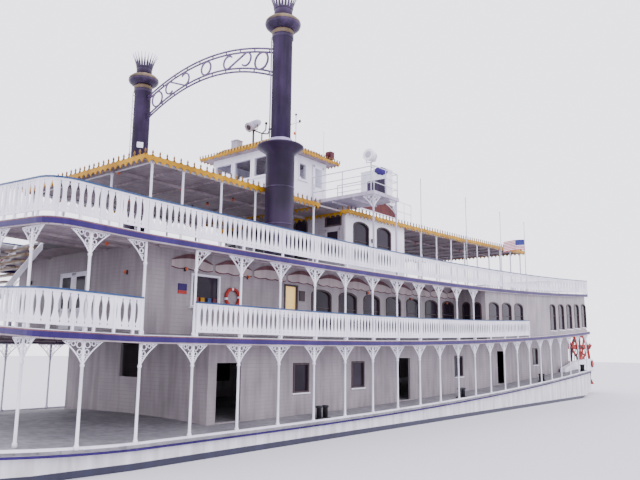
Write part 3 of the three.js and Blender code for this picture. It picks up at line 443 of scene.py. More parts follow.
MATERIALS = {
    "white": painted("white_paint", (0.82, 0.80, 0.87), (0.68, 0.66, 0.74)),
    "bright": painted("bright_paint", (0.86, 0.84, 0.90), (0.74, 0.72, 0.80)),
    # siding: lavender-grey boarded wall paint, darkened further as painted shade for the walls under the
    # decks
    "painted_shade_siding": painted("siding_with_painted_shade", (0.33, 0.288, 0.305), (0.26, 0.228, 0.245), boards=("Z", 0.14, 0.75)),
    # soffit: a dark lavender-grey for ceilings, roof slabs and bearers, painted shade under the decks and
    # roofs
    "painted_shade_soffit": painted("soffit_painted_shade", (0.4, 0.33, 0.36), (0.29, 0.24, 0.265), 0.6, boards=("Y", 0.24, 0.35)),
    # shade: the white wall paint darkened as painted shade, for the texas front and its doors
    "shade": painted("painted_shade_wall", (0.4, 0.36, 0.4), (0.3, 0.27, 0.31), 0.55, boards=("Z", 0.14, 0.8)),
    "arch": painted("arch_paint", (0.13, 0.09, 0.18), (0.07, 0.045, 0.11)),
    "sign": painted("sign_red", (0.11, 0.02, 0.02), (0.07, 0.014, 0.014), 0.6),
    "cover": cloth("cover_blue", (0.05, 0.025, 0.2), (0.03, 0.012, 0.12)),
    # fascia: lavender-grey, darker than the white, as painted shade on the bridge platform and the bearers
    # under its wings
    "painted_shade_fascia": painted("fascia_painted_shade", (0.5, 0.45, 0.55), (0.36, 0.32, 0.4), 0.55),
    "deck": painted("deck_paint", (0.27, 0.26, 0.28), (0.2, 0.19, 0.21), 0.75, boards=("Y", 0.16, 0.6)),
    "roof": painted("roof_paint", (0.62, 0.61, 0.66), (0.5, 0.49, 0.54), 0.7),
    "blue": painted("edge_blue", (0.03, 0.013, 0.115), (0.019, 0.008, 0.075), 0.45, 0.25),
    "cap": painted("rail_cap_blue", (0.035, 0.075, 0.18), (0.02, 0.045, 0.12), 0.35, 0.25),
    "gold": painted("gold_trim", (0.48, 0.25, 0.008), (0.31, 0.15, 0.006), 0.55, 0.3),
    "dark_gold": painted("finial_gold", (0.22, 0.11, 0.02), (0.12, 0.06, 0.012), 0.5, 0.3),
    "stack": painted("stack_paint", (0.056, 0.036, 0.084), (0.028, 0.017, 0.043), 0.4, 0.5),
    "low_stack": painted("low_stack_paint", (0.024, 0.012, 0.038), (0.012, 0.006, 0.02), 0.4, 0.3),
    "ring": painted("ring_gold", (0.2, 0.145, 0.09), (0.1, 0.07, 0.045), 0.5, 0.4),
    "collar": painted("collar_paint", (0.36, 0.31, 0.48), (0.22, 0.18, 0.33), 0.4),
    "red": painted("red_paint", (0.42, 0.045, 0.035), (0.27, 0.03, 0.025), 0.5),
    "maroon": painted("maroon_paint", (0.13, 0.02, 0.035), (0.07, 0.012, 0.02), 0.5),
    "frieze": painted("frieze_band", (0.17, 0.075, 0.085), (0.1, 0.045, 0.055), 0.5),
    "pink": painted("frieze_panel", (0.5, 0.42, 0.42), (0.38, 0.32, 0.32), 0.5),
    "steel": painted("galvanised_pipe", (0.62, 0.62, 0.68), (0.48, 0.48, 0.54), 0.4, 0.3, 0.5),
    "locker": painted("grey_locker", (0.42, 0.4, 0.48), (0.32, 0.3, 0.37), 0.5),
    "iron": painted("dark_iron", (0.05, 0.05, 0.06), (0.03, 0.028, 0.03), 0.55, 0.4, 0.6),
    "dark": painted("dark_frame", (0.07, 0.045, 0.05), (0.04, 0.03, 0.035), 0.5),
    "hull": hull_paint("hull_paint"),
    "glass": glass("dark_glass", (0.03, 0.02, 0.034)),
    "clear": clear_glass("clear_glass"),
    # pale glass: a painted reflection of the sky, on the pilothouse door panes
    "painted_sky_glass": glass("painted_sky_reflection", (0.5, 0.5, 0.62)),
    "tread": wooden("stair_tread", (0.42, 0.28, 0.12), (0.2, 0.12, 0.06), (0.3, 0.05, 1)),
    "amber": lamp_glass("amber_lamp", (0.5, 0.1, 0.03), 0.12),
    # lit window: a pane that glows yellow of itself, painted light with no lamp behind it
    "yellow_light": lamp_glass("painted_window_glow", (0.95, 0.62, 0.16), 0.5),
    "flag_red": cloth("flag_red", (0.5, 0.03, 0.04), (0.34, 0.02, 0.03)),
    "flag_white": cloth("flag_white", (0.8, 0.78, 0.82), (0.6, 0.58, 0.64)),
    "flag_blue": cloth("flag_blue", (0.03, 0.035, 0.2), (0.02, 0.025, 0.13)),
}


# Columns, their pierced brackets and the banded deck edges
COLUMN_Y = HALF_BEAM - 0.115
EDGE_INSET = 0.075
# How far a bracket reaches along the beam and down the column, and what its hollow rim bends towards
BRACKET_REACH, BRACKET_DROP, BRACKET_BEND = 0.6, 0.58, (0.22, -0.26)
# Rings of the bracket's lace: out from the column, down from the beam, radius
BRACKET_RINGS = [(0.12, -0.11, 0.085), (0.3, -0.08, 0.06), (0.43, -0.055, 0.035), (0.11, -0.3, 0.065),
                 (0.085, -0.44, 0.04)]
# Bands of a deck's edge: half thickness, foot and top under the deck, finish. The lowest band, in the darker
# soffit paint, is painted shadow under the edge
EDGE_BANDS = [(0.075, 0.2, 0.055, "blue"), (0.07, 0.055, 0.015, "frieze"), (0.072, 0.015, 0.0, "white"),
              (0.06, EDGE_BEAM, 0.2, "painted_shade_soffit")]


def bracket_rim():
    """From the beam to the column on a slightly hollow curve."""
    axes = list(zip((BRACKET_REACH, 0.0), BRACKET_BEND, (0.04, -BRACKET_DROP)))
    return [tuple((1 - t) ** 2 * a + 2 * t * (1 - t) * b + t * t * c for a, b, c in axes)
            for t in (k / 6 for k in range(7))]


BRACKET_BARS = [bracket_rim(), [(0.0, -0.013), (BRACKET_REACH, -0.013)]]


def add_bracket(shape, x, y, head, along, half):
    """A bracket at a column: along is its direction in plan, half the side of the column it is on."""
    ax, ay = along

    def place(u, v, w):
        return (x + ax * u * half - ay * w, y + ay * u * half + ax * w, head + v)
    for points in BRACKET_BARS:
        shape.stroke(points, 0.026, place, 0.035, "white")
    for u, v, radius in BRACKET_RINGS:
        shape.stroke(ring_points(u, v, radius), 0.018, place, 0.03, "white", closed=True)


def add_column(shape, x, y, floor, level, along, halves=(1, -1)):
    base = floor + rise(x, y)
    head = level - EDGE_BEAM + rise(x, y)
    shape.lathe([(0.07, base), (0.07, base + 0.1), (0.048, base + 0.14), (0.042, base + 1.0),
                 (0.042, head - 0.7), (0.06, head - 0.68), (0.06, head - 0.63), (0.042, head - 0.6),
                 (0.042, head + 0.02)], "white", 8, (x, y, 0))
    for half in halves:
        add_bracket(shape, x, y, head, along, half)


def deck_edge(shape, path, level):
    for half, foot, top, finish in EDGE_BANDS:
        shape.ribbon(path, half, level - foot, level - top, finish)


# Bow columns: place, and the direction of their brackets
BOW_COLUMNS = [(DECK_FRONT - 0.115, y, 0, 1) for y in (5.0, 3.1, 1.2)]
BOW_COLUMNS.insert(0, (FIRST_COLUMN + 1.77, COLUMN_Y, 1, 0))
# Each storey's name, floor and deck above, last side column, and the bracket halves of its first columns
for label, floor, level, last, spread in (("frame_2", MAIN_DECK, DECK_2, 21, [(-1,)]),
                                          ("frame_3", DECK_2, DECK_3, 11, [(), (-1,)])):
    shape = Shape()
    deck_edge(shape, bow_path(EDGE_INSET), level)
    for s in (1, -1):
        for x, y, ax, ay in BOW_COLUMNS:
            add_column(shape, x, s * y, floor, level, (ax, ay * s))
        if label == "frame_3":
            head = level - EDGE_BEAM + rise(FIRST_COLUMN, COLUMN_Y)
            add_bracket(shape, FIRST_COLUMN, s * COLUMN_Y, head, (1, 0), 1)
    shape.piece(f"{label}_bow_dressed", [f"{label}_bow"])
    for side, s in SIDES:
        shape = Shape()
        deck_edge(shape, straight(FIRST_COLUMN, STERN, s * (HALF_BEAM - EDGE_INSET)), level)
        for n in range(last + 1):
            x = column(n) - (0.05 if n == 0 else 0)
            halves = spread[n] if n < len(spread) else (1, -1)
            add_column(shape, x, s * COLUMN_Y, floor, level, (1, 0), halves)
        shape.piece(f"{label}_{side}_dressed", [f"{label}_{side}"])


# Railings of flat sawn boards under a dark blue cap; four wire poles stand in each side rail of deck 3
BOARD_PITCH = 0.23
RAIL_INSET = 0.03
RAIL_Y = HALF_BEAM - RAIL_INSET
# How wide the gap between two boards is, as a share of the pitch, by height over the deck
BOARD_GAPS = [(0.13, 0), (0.19, 0), (0.215, 0.16), (0.245, 0.16), (0.27, 0.02), (0.3, 0.05), (0.36, 0.28),
              (0.45, 0.44), (0.55, 0.54), (0.68, 0.56), (0.78, 0.48), (0.86, 0.3), (0.92, 0.14), (0.96, 0.22),
              (1.0, 0.1)]
# Lengthwise bars: half thickness, foot and top over the deck, finish
RAIL_BARS = [(0.022, 0.13, 0.2, "white"), (0.022, 0.985, 1.04, "white"), (0.04, 1.04, RAIL_HEIGHT, "cap")]
POLES = [FIRST_COLUMN - d for d in (16.2, 21.2, 25.9, 29.8)]
POLE_TOP = BAND_3 + 5.26


def board_rail(node, path, level, feet, poles=()):
    shape = Shape()
    places, pitch = along_path(path, BOARD_PITCH)
    right = [(pitch / 2 * (1 - gap), v) for v, gap in BOARD_GAPS]
    outline = right + [(-u, v) for u, v in reversed(right)]
    for x, y, dx, dy in places:
        def place(u, v, w, x=x, y=y, dx=dx, dy=dy):
            return (x + dx * u - dy * w, y + dy * u + dx * w, level + v + rise(x + dx * u, y + dy * u))
        shape.plate(outline, place, 0.02, "white")
    for half, low, high, finish in RAIL_BARS:
        shape.ribbon(path, half, level + low, level + high, finish)
    for x, y in feet:
        z = level + rise(x, y)
        shape.box(x - 0.035, x + 0.035, y - 0.03, y + 0.03, z, z + 1.03, "white")
    for x, y in poles:
        z = level + rise(x, y)
        shape.pole(x, y, z, z + 1.2, 0.035, "steel")
        shape.pole(x, y, z + 1.2, POLE_TOP, 0.022, "steel")
        shape.lathe([(0.02, 0.0), (0.035, 0.015), (0.02, 0.04)], "steel", 6, (x, y, POLE_TOP))
    shape.piece(f"{node}_boards", replaces=[node])


def side_rail(node, s, level, x0, x1, poles=()):
    y = s * RAIL_Y
    places = [x1 - 0.05, x0 + 0.05] + [column(n) for n in range(1, 22)]
    feet = [(x, y) for x in places if x0 < x < x1]
    board_rail(node, straight(x1, x0, y), level, feet, [(x, y) for x in poles])


for label, level in (("rail_2", DECK_2), ("rail_3", DECK_3)):
    path = bow_path(RAIL_INSET)
    feet = [(FIRST_COLUMN + 0.05, s * RAIL_Y) for s in (1, -1)]
    feet += [(x, y) for x, y, dx, dy in along_path(path, 0.62)[0]]
    board_rail(f"{label}_bow", path, level, feet)
for side, s in SIDES:
    side_rail(f"rail_2_{side}", s, DECK_2, column(15), column(1))
    side_rail(f"rail_3_{side}", s, DECK_3, STERN, FIRST_COLUMN, POLES)
stern_x, stern_y = STERN + 0.1, HALF_BEAM - 0.08
board_rail("rail_3_stern", [(stern_x, y) for y in steps(stern_y, -stern_y)], DECK_3,
           [(stern_x, y) for y in (stern_y - 0.05, 3, 0, -3, 0.05 - stern_y)])


# Roofs: boarded plates with a scalloped gold valance and a finial on every scallop
# Spans of the roofs: back, front, half width
ROOF_FORWARD = (FIRST_COLUMN - 10.6, FIRST_COLUMN - 1.15, 4.14)
ROOF_NECK = (FIRST_COLUMN - 12.39, FIRST_COLUMN - 10.52, 3.99)
ROOF_AFT = (FIRST_COLUMN - 34.3, FIRST_COLUMN - 12.4, 4.36)
SCALLOP = 0.3
VALANCE_INSET = 0.016


def add_valance(shape, path, level, form, size=1.0, cusp=0.035):
    """A hanging strip: hollow between cusps along the top, arches with pointed drips along the foot."""
    places, pitch = along_path(path, SCALLOP * size, 0.0)
    samples = 6
    for x, y, dx, dy in places:
        rings = []
        for k in range(samples + 1):
            u = pitch * k / samples
            away = abs(u - pitch / 2) / (pitch / 2)
            top = level - 0.025 + (cusp + 0.025) * away ** 2
            foot = level - (0.165 + 0.135 * (1 - away) ** 2) * size
            px, py = x + dx * u, y + dy * u
            z = form(px, py)
            rings.append([(px + dy * w, py - dx * w, h + z) for w, h in rect(-0.015, 0.015, foot, top)])
        shape.loft(rings, "gold")
        finial = [(0.045, -0.02), (0.026, 0.06 * size), (0.042, 0.1 * size), (0.006, 0.19 * size)]
        shape.lathe(finial, "dark_gold", 5, (x, y, level + form(x, y)))


def roof(name, spans, beams):
    """Spans are (back, front, half width), the first with a valance; beams lie over the posts."""
    shape = Shape()
    for x0, x1, half in spans:
        xs, y = steps(x0 + 0.04, x1 - 0.04), half - 0.04
        section = rect(-y, y, CEILING_3, ROOF - 0.03)
        # The roof's slab, under and at its edges, is in the darker soffit paint: painted shade
        shape.loft([[(x, v, z + sheer(x)) for v, z in section] for x in xs], "painted_shade_soffit")
        skin = [[(x, v, ROOF - 0.026 + sheer(x)) for v in (-y, y)] for x in xs]
        shape.loft(skin, "roof", caps=False, closed=False)
        for y in (-1.75, 1.75):
            path = straight(x0 + 0.1, x1 - 0.1, y)
            shape.ribbon(path, 0.05, CEILING_3 - 0.1, CEILING_3 + 0.01, "painted_shade_soffit", sheer)
    x0, x1, half = spans[0]
    for x in beams:
        z = CEILING_3 + sheer(x)
        shape.box(x - 0.04, x + 0.04, 0.06 - half, half - 0.06, z - 0.07, z + 0.02, "painted_shade_soffit")
    x0, x1, y = x0 + VALANCE_INSET, x1 - VALANCE_INSET, half - VALANCE_INSET
    for path in (straight(x0, x1, y), straight(x1, x0, -y), [(x1, y), (x1, -y)], [(x0, -y), (x0, y)]):
        add_valance(shape, path, ROOF, sheer)
    shape.piece(f"{name}_boards", [name])


TEXAS_FRONT, TEXAS_BACK, TEXAS_HALF = FIRST_COLUMN - 12.5, FIRST_COLUMN - 17.9, 4.05
FORWARD_POSTS = [ROOF_FORWARD[1] - d for d in (0.45, 1.81, 3.66, 5.5, 7.35, 9.2)]
AFT_POSTS = [TEXAS_BACK - 1.5 - 1.785 * i for i in range(9)]
POST_Y, AFT_POST_Y = 3.95, 4.2
roof("roof_forward", [ROOF_FORWARD, ROOF_NECK], FORWARD_POSTS)
roof("roof_aft", [ROOF_AFT], AFT_POSTS)


def add_posts(shape, xs, y, header_front):
    """Turned posts in a row, under a header from behind the last one to header_front."""
    for x in xs:
        base, head = DECK_3 + rise(x, y), CEILING_3 + sheer(x)
        shape.lathe([(0.065, base), (0.065, base + 0.1), (0.045, base + 0.14), (0.045, head - 0.2),
                     (0.06, head - 0.18), (0.06, head - 0.1)], "white", 8, (x, y, 0))
    if header_front:
        path = straight(xs[-1] - 0.1, header_front, y)
        shape.ribbon(path, 0.045, CEILING_3 - 0.11, CEILING_3 - 0.01, "white", sheer)


shape = Shape()
front = FORWARD_POSTS[0]
for s in (1, -1):
    add_posts(shape, FORWARD_POSTS, s * POST_Y, front + 0.1)
    add_posts(shape, [front], s * 1.6, None)
shape.box(front - 0.03, front + 0.03, -POST_Y, POST_Y, CEILING_3 - 0.1, CEILING_3 - 0.02, "white")
shape.piece("posts_forward_turned", replaces=["posts_forward"])
for side, s in SIDES:
    shape = Shape()
    add_posts(shape, AFT_POSTS, s * AFT_POST_Y, TEXAS_BACK - 0.1)
    shape.piece(f"posts_aft_{side}_turned", replaces=[f"posts_aft_{side}"])


# Stacks: 32-sided drums with an umbrella collar, gold rings and a crown of thin petals
STACK_X, STACK_Y = FIRST_COLUMN - 7.19, 4.756
# Way that each stack's ladder faces, and how far out from the stack's middle it is
LADDER_WAY, LADDER_OUT = (0.624, -0.781), 0.46
# The small blank plate on the starboard stack: the way it faces, how far out it is, and its height
PLAQUE_WAY, PLAQUE_OUT, PLAQUE_Z = (0.576, 0.818), 0.44, 15.2
# Runs of the stack's outline: finish, then radius and height over the middle of deck 3's edge
STACK_RUNS = [
    ("low_stack", [(0.64, 0.16), (0.64, 0.45), (0.58, 0.5), (0.58, 4.55), (0.92, 4.8), (0.95, 4.84),
                   (0.95, 4.87), (0.9, 4.91)]),
    ("collar", [(0.9, 4.91), (0.62, 5.0), (0.48, 5.08), (0.48, 5.16), (0.41, 5.19)]),
    ("stack", [(0.41, 5.19), (0.41, 9.52), (0.455, 9.54), (0.455, 9.7)]),
    ("ring", [(0.455, 9.7), (0.455, 9.86), (0.42, 9.9), (0.4, 9.92)]),
    ("stack", [(0.4, 9.92), (0.6, 9.98), (0.72, 10.09), (0.755, 10.2)]),
    ("ring", [(0.755, 10.2), (0.73, 10.31), (0.6, 10.43), (0.385, 10.48)]),
    ("stack", [(0.385, 10.48), (0.385, 10.9), (0.36, 10.93)]),
]
# A petal of the crown, from its foot up: distance out, height, half width
PETAL = [(0.385, 10.84, 0.056), (0.42, 11.04, 0.05), (0.5, 11.3, 0.022), (0.62, 11.56, 0.005)]


def out_place(x, y, way):
    """Place on an upright plane through (x, y), turned so that way is out of it."""
    ox, oy = way
    return lambda w, out, z: (x + ox * out - oy * w, y + oy * out + ox * w, z)


def add_petals(shape, x, y):
    for a in around(20):
        place = out_place(x, y, (math.cos(a), math.sin(a)))
        rings = [[place(w, out, BAND_3 + z) for out, w in rect(r - 0.01, r + 0.01, -half, half)]
                 for r, z, half in PETAL]
        shape.loft(rings[:3], "stack")
        # The upper part of each petal is in the pale collar paint: a painted glint on the petal tips
        shape.loft(rings[2:], "collar")


def add_ladder(shape, x, y):
    place = out_place(x, y, LADDER_WAY)
    low, high = BAND_3 + 5.25, BAND_3 + 9.55
    for w in (-0.15, 0.15):
        shape.tube([place(w, LADDER_OUT, low), place(w, LADDER_OUT, high)], 0.018, "collar", 4)
        for z in (low + 0.3, high - 0.2):
            shape.tube([place(w, LADDER_OUT, z), place(w, LADDER_OUT - 0.08, z)], 0.012, "stack", 4)
    for z in steps(low + 0.15, high - 0.1, 0.33):
        shape.tube([place(w, LADDER_OUT, z) for w in (-0.15, 0.15)], 0.013, "collar", 4)


for side, s in SIDES:
    shape = Shape()
    at = (STACK_X, s * STACK_Y, BAND_3)
    for finish, outline in STACK_RUNS:
        shape.lathe(outline, finish, 32, at)
    add_petals(shape, STACK_X, s * STACK_Y)
    add_ladder(shape, STACK_X, s * STACK_Y)
    for z in (1.6, 3.1):
        shape.lathe([(0.58, z), (0.592, z + 0.01), (0.592, z + 0.05), (0.58, z + 0.06)], "stack", 32, at)
    if side == "starboard":
        place = out_place(STACK_X, s * STACK_Y, PLAQUE_WAY)
        plaque = rect(-0.15, 0.15, -0.14, 0.14)
        shape.plate(plaque, lambda u, v, w: place(u, PLAQUE_OUT + w, PLAQUE_Z + v), 0.03, "white")
    shape.piece(f"stack_{side}_dressed", [f"stack_{side}"])


# Arch between the stacks: two double chords, rings and scrolls
ARCH_END = STACK_Y - 0.426
# How far the two tubes of each chord, upper and lower, lie over and under its line
CHORD_TUBES = {True: (-0.1, 0.06), False: (-0.08, 0.08)}
# Radius of a scroll's round end, and where the scrolls are: their middle and half their length
HOOK = 0.3
SCROLL_Y, SCROLL_HALF = 2.05, 0.56


def chord_height(y, upper):
    """Both chords are parabolas, highest amidships."""
    return BAND_3 + (10.02 - 0.045 * y * y if upper else 9.16 - 0.055 * y * y)


def arch_place(u, v, w):
    return (STACK_X + w, u, v)


def hook(y, z, way, start):
    """A scroll's round end about (y, z), as points through 230 degrees from the angle start."""
    angles = (math.radians(start - 230 * k / 12) for k in range(13))
    return [(y + way * HOOK * math.cos(a), z + HOOK * math.sin(a)) for a in angles]


shape = Shape()
for upper, lifts in CHORD_TUBES.items():
    for lift in lifts:
        line = [(STACK_X, y, chord_height(y, upper) + lift) for y in steps(-ARCH_END, ARCH_END, 0.5)]
        shape.tube(line, 0.043, "arch")
    for y in steps(0.3 - ARCH_END, ARCH_END - 0.3, 0.9):
        shape.tube([(STACK_X, y, chord_height(y, upper) + lift) for lift in lifts], 0.03, "arch", 5)
for y in (-3.55, 0.0, 3.55):
    top, low = chord_height(y, True) - 0.1, chord_height(y, False) + 0.08
    ring = ring_points(y, (top + low) / 2, (top - low) / 2 - 0.02, 20)
    shape.stroke(ring, 0.08, arch_place, 0.05, "arch", closed=True)
for way in (1, -1):
    outer, inner = SCROLL_Y + SCROLL_HALF, SCROLL_Y - SCROLL_HALF
    top, low = chord_height(outer, True) - 0.12, chord_height(inner, False) + 0.1
    upper_end, lower_end = hook(way * outer, top - HOOK, way, 90), hook(way * inner, low + HOOK, way, -90)
    shape.stroke(upper_end[::-1] + lower_end, 0.075, arch_place, 0.05, "arch")
shape.piece("stack_arch_scrolls", ["stack_arch"])


# Pilothouse roof: bell-cast and hipped with gold eaves, a locker, a searchlight and a small branched pipe
PILOT_FRONT, PILOT_BACK, PILOT_HALF, PILOT_TOP = FIRST_COLUMN - 9.75, FIRST_COLUMN - 13.6, 2.1, 14.62
EAVES = 0.5
# The roof's outline: inset from the eaves, height over the walls
HIP = [(0.035, 0.0), (0.035, 0.085), (0.3, 0.16), (0.55, 0.32), (0.7, 0.45), (0.85, 0.57), (1.05, 0.69),
       (1.3, 0.78), (1.8, 0.96)]
# Drums of the searchlights: radius, distance ahead
ROOF_DRUM = [(0.05, -0.5), (0.12, -0.47), (0.16, -0.38), (0.19, -0.2), (0.215, 0.2), (0.215, 0.34),
             (0.24, 0.36), (0.24, 0.42), (0.2, 0.42)]
WING_DRUM = [(0.08, -0.3), (0.17, -0.27), (0.23, -0.18), (0.25, -0.05), (0.265, 0.18), (0.28, 0.19),
             (0.28, 0.25), (0.24, 0.25)]


def hip_ring(inset, height):
    """The roof's four corners, port front first."""
    x0, x1, y = PILOT_BACK - EAVES + inset, PILOT_FRONT + EAVES - inset, PILOT_HALF + EAVES - inset
    z = PILOT_TOP + height
    return [(x1, y, z), (x0, y, z), (x0, -y, z), (x1, -y, z)]


def add_drum(shape, at, tilt, outline, finish):
    """A drum about a fore-and-aft axis that looks down by the angle tilt."""
    ca, sa = math.cos(tilt), math.sin(tilt)
    shape.loft([[(at[0] + ahead * ca + r * math.sin(t) * sa, at[1] + r * math.cos(t),
                  at[2] - ahead * sa + r * math.sin(t) * ca) for t in around(20)] for r, ahead in outline],
               finish, True)


shape = Shape()
shape.loft([hip_ring(inset, height) for inset, height in HIP], "gold")
shape.loft([hip_ring(0.05, -0.02), hip_ring(0.05, 0.01)], "painted_shade_soffit")
corners = [(x, y) for x, y, z in hip_ring(VALANCE_INSET, 0)]
for a, b in zip(corners, corners[1:] + corners[:1]):
    add_valance(shape, [b, a], PILOT_TOP + 0.1, lambda x, y: 0.0, 0.7, 0.02)
for hip in zip(hip_ring(0.55, 0.33), hip_ring(0.85, 0.585), hip_ring(1.8, 0.97)):
    shape.tube(hip, 0.025, "dark_gold")
x0, x1, y0, y1 = PILOT_FRONT - 0.85, PILOT_FRONT - 0.45, -1.35, -0.95
shape.box(x0, x1, y0, y1, PILOT_TOP + 0.4, PILOT_TOP + 1.01, "locker")
shape.box(x0 - 0.02, x1 + 0.02, y0 - 0.02, y1 + 0.02, PILOT_TOP + 1.01, PILOT_TOP + 1.05, "locker")
x, z, tilt = PILOT_FRONT - 0.65, PILOT_TOP + 1.66, 0.6
shape.pole(x, 0, PILOT_TOP + 0.5, z - 0.15, 0.05, "dark", 8)
add_drum(shape, (x, 0, z), tilt, ROOF_DRUM, "locker")
add_drum(shape, (x, 0, z), tilt, [(0.2, 0.4), (0.1, 0.43)], "dark")
yoke = [(-0.26, -0.02), (-0.26, -0.28), (0.26, -0.28), (0.26, -0.02)]
shape.tube([(x, y, z + up) for y, up in yoke], 0.022, "dark")
branch = (10.05, 0.1, 15.95)
for points in ([(x - 0.05, 0, z - 0.28), branch, (9.8, 0.12, 16.2), (9.78, 0.12, 16.55)],
               [branch, (9.72, 0.2, 16.0), (9.6, 0.2, 16.28)],
               [branch, (9.95, 0, 15.5), (9.9, 0, PILOT_TOP + 0.85)]):
    shape.tube(points, 0.035, "dark")
    shape.lathe([(0.02, -0.08), (0.07, -0.03), (0.07, 0.04), (0.02, 0.08)], "dark", 8, points[-1])
shape.piece("pilothouse_roof_dressed", ["pilothouse_roof"])

# Masts on that roof: one with a yard and lamps, a thin rod, and a pole with a maroon box
MAST_X, MAST_TOP, YARD_Z, YARD_HALF = 7.35, 17.72, 17.3, 0.35
ROD_X, ROD_Y = 6.95, 1.6
BOX_Y = 2.12
shape = Shape()
shape.tube([(MAST_X, 0, z) for z in (PILOT_TOP + 0.2, 16.6, MAST_TOP)], 0.035, "white", 8)
cap = [(0.02, -0.02), (0.06, 0.02), (0.06, 0.08), (0.02, 0.12)]
shape.lathe(cap, "dark", 8, (MAST_X, 0, MAST_TOP))
shape.tube([(MAST_X, y, YARD_Z) for y in (-YARD_HALF, YARD_HALF)], 0.02, "white")
lamp = [(0.03, -0.08), (0.06, -0.05), (0.06, 0.05), (0.03, 0.08)]
for y, z, finish in ((-YARD_HALF, YARD_Z, "dark"), (YARD_HALF, YARD_Z, "dark"), (0.0, 16.7, "amber")):
    shape.lathe(lamp, finish, 10, (MAST_X + 0.09, y, z))
shape.tube([(ROD_X, ROD_Y, z) for z in (PILOT_TOP + 0.05, 15.5, 16.6)], 0.014, "steel", 5)
shape.pole(7.08, BOX_Y, PILOT_TOP + 0.02, 14.97, 0.03, "dark")
shape.box(6.92, 7.24, BOX_Y - 0.16, BOX_Y + 0.16, 14.95, 15.33, "maroon")
shape.lathe([(0.1, 0.0), (0.13, 0.06), (0.13, 0.08)], "maroon", 12, (7.24, BOX_Y, 15.14), "x")
shape.piece("pilothouse_masts")


# Windows: frames, crossbars, sills and panes fitted in the walls' openings
def hole_outline(width, low, high, arch, grow):
    """A window's outline, square or arched at the top, grown on every side."""
    w = width / 2 + grow
    low, high = low - grow, high + grow
    if arch == 0:
        return rect(-w, w, low, high)
    return [(-w, low), (w, low)] + [(w * math.cos(t), high - arch + arch * math.sin(t))
                                    for t in (math.pi * i / 8 for i in range(9))]


def add_window(shape, place, width, low, high, arch=0.24, pane="glass", trim="dark", sill=True):
    """place(u, v, w): across the wall, up it, and out of its outer face."""
    outer = hole_outline(width, low, high, arch, 0.045)
    inner = hole_outline(width, low, high, arch, -0.03)
    k = len(outer)
    faces = []
    for i in range(k):
        j = (i + 1) % k
        faces += [(i, j, k + j, k + i), (2 * k + j, 2 * k + i, 3 * k + i, 3 * k + j),
                  (j, i, 2 * k + i, 2 * k + j), (k + i, k + j, 3 * k + j, 3 * k + i)]
    shape.add([place(u, v, w) for w in (0.03, -0.13) for u, v in outer + inner], faces, trim)
    shape.plate(hole_outline(width, low, high, arch, -0.015), shifted(place, -0.06), 0.012, pane)
    u = width / 2
    if arch:
        v = (low + high) / 2 + 0.1
        shape.stroke([(-u + 0.03, v), (u - 0.03, v)], 0.04, shifted(place, -0.045), 0.03, trim)
    if sill:
        v = low - 0.06
        shape.stroke([(-u - 0.1, v), (u + 0.1, v)], 0.05, shifted(place, 0.025), 0.07, "white")


def side_wall(s, at, z, outer):
    """Place on a side wall, level at z."""
    return lambda u, v, w: (at - u * s, s * (outer + w), z + v)


def cross_wall(at, z, front, facing=1):
    """Place on a wall across the boat, level at z."""
    return lambda u, v, w: (front + w * facing, at + u * facing, z + v)


def side_place(s, at, floor, outer):
    return side_wall(s, at, floor + rise(at, outer), outer)


def cross_place(at, floor, front, facing):
    return cross_wall(at, floor + rise(front, at), front, facing)


SALOON_FRONT, SALOON_HALF, SALOON_AFT_HALF = FIRST_COLUMN - 1.4, 4.2, 5.92
SALOON_SHOULDER, SALOON_BACK = column(11) - 1.74, STERN + 0.35
MAIN_HALF = 4.5
# Small plates on the saloon's side walls: x, foot, top, width, finish
WALL_PLATES = [(11.63, 7.3, 7.73, 0.36, "dark"), (18.02, 7.26, 7.49, 0.37, "blue"),
               (18.02, 7.14, 7.25, 0.37, "red")]
WALL_LAMPS = [17.94, 14.89, 10.84, 6.8, 2.8, -1.2]
# What stands in the serving window: place across it, finish
SERVING = [(-0.4, "red"), (-0.12, "gold"), (0.2, "cap"), (0.45, "maroon")]


def add_side_windows(shape, s, floor, outer, places, *size):
    for at in places:
        add_window(shape, side_place(s, at, floor, outer), *size)


def add_end_windows(shape, floor, front, facing, places, *size, sill=True):
    for at in places:
        add_window(shape, cross_place(at, floor, front, facing), *size, sill=sill)


def add_wall_lamp(shape, place):
    """A small amber bowl on a dark bracket."""
    bowl = [(0.01, -0.06), (0.045, -0.02), (0.055, 0.03), (0.02, 0.06)]
    shape.lathe(bowl, "amber", 10, place(0, 0, 0.1))
    shape.plate(rect(-0.03, 0.03, -0.08, 0.07), shifted(place, 0.015), 0.03, "dark")


def add_frieze(shape, place, width):
    """A bay's painted frieze: a panel between a scalloped line and an upper swag, with a crown over it."""
    swag = [(width * (t - 0.5), 2.52 + 0.12 * math.sin(math.pi * t)) for t in (i / 8 for i in range(9))]
    scallops = [(width * (t - 0.5), 2.3 - 0.05 * abs(math.sin(3 * math.pi * t)))
                for t in (i / 18 for i in range(19))]
    crown = [(u, v + 0.02 + 0.15 * math.sin(math.pi * i / 8)) for i, (u, v) in enumerate(swag)]
    shape.plate(scallops + swag[::-1], shifted(place, 0.012), 0.02, "pink")
    shape.plate(swag + crown[::-1], shifted(place, 0.025), 0.02, "frieze")
    shape.stroke(scallops, 0.03, shifted(place, 0.025), 0.02, "maroon")


def add_life_ring(shape, place):
    """A red ring with four white bands, hung flat on the wall."""
    angles = steps(0.0, 2 * math.pi, math.pi / 12)
    for k, ends in enumerate(zip(angles, angles[1:])):
        points = [place(0.33 * math.cos(t), 0.33 * math.sin(t), 0.06) for t in ends]
        shape.tube(points, 0.065, "white" if k % 6 == 0 else "red", 8)


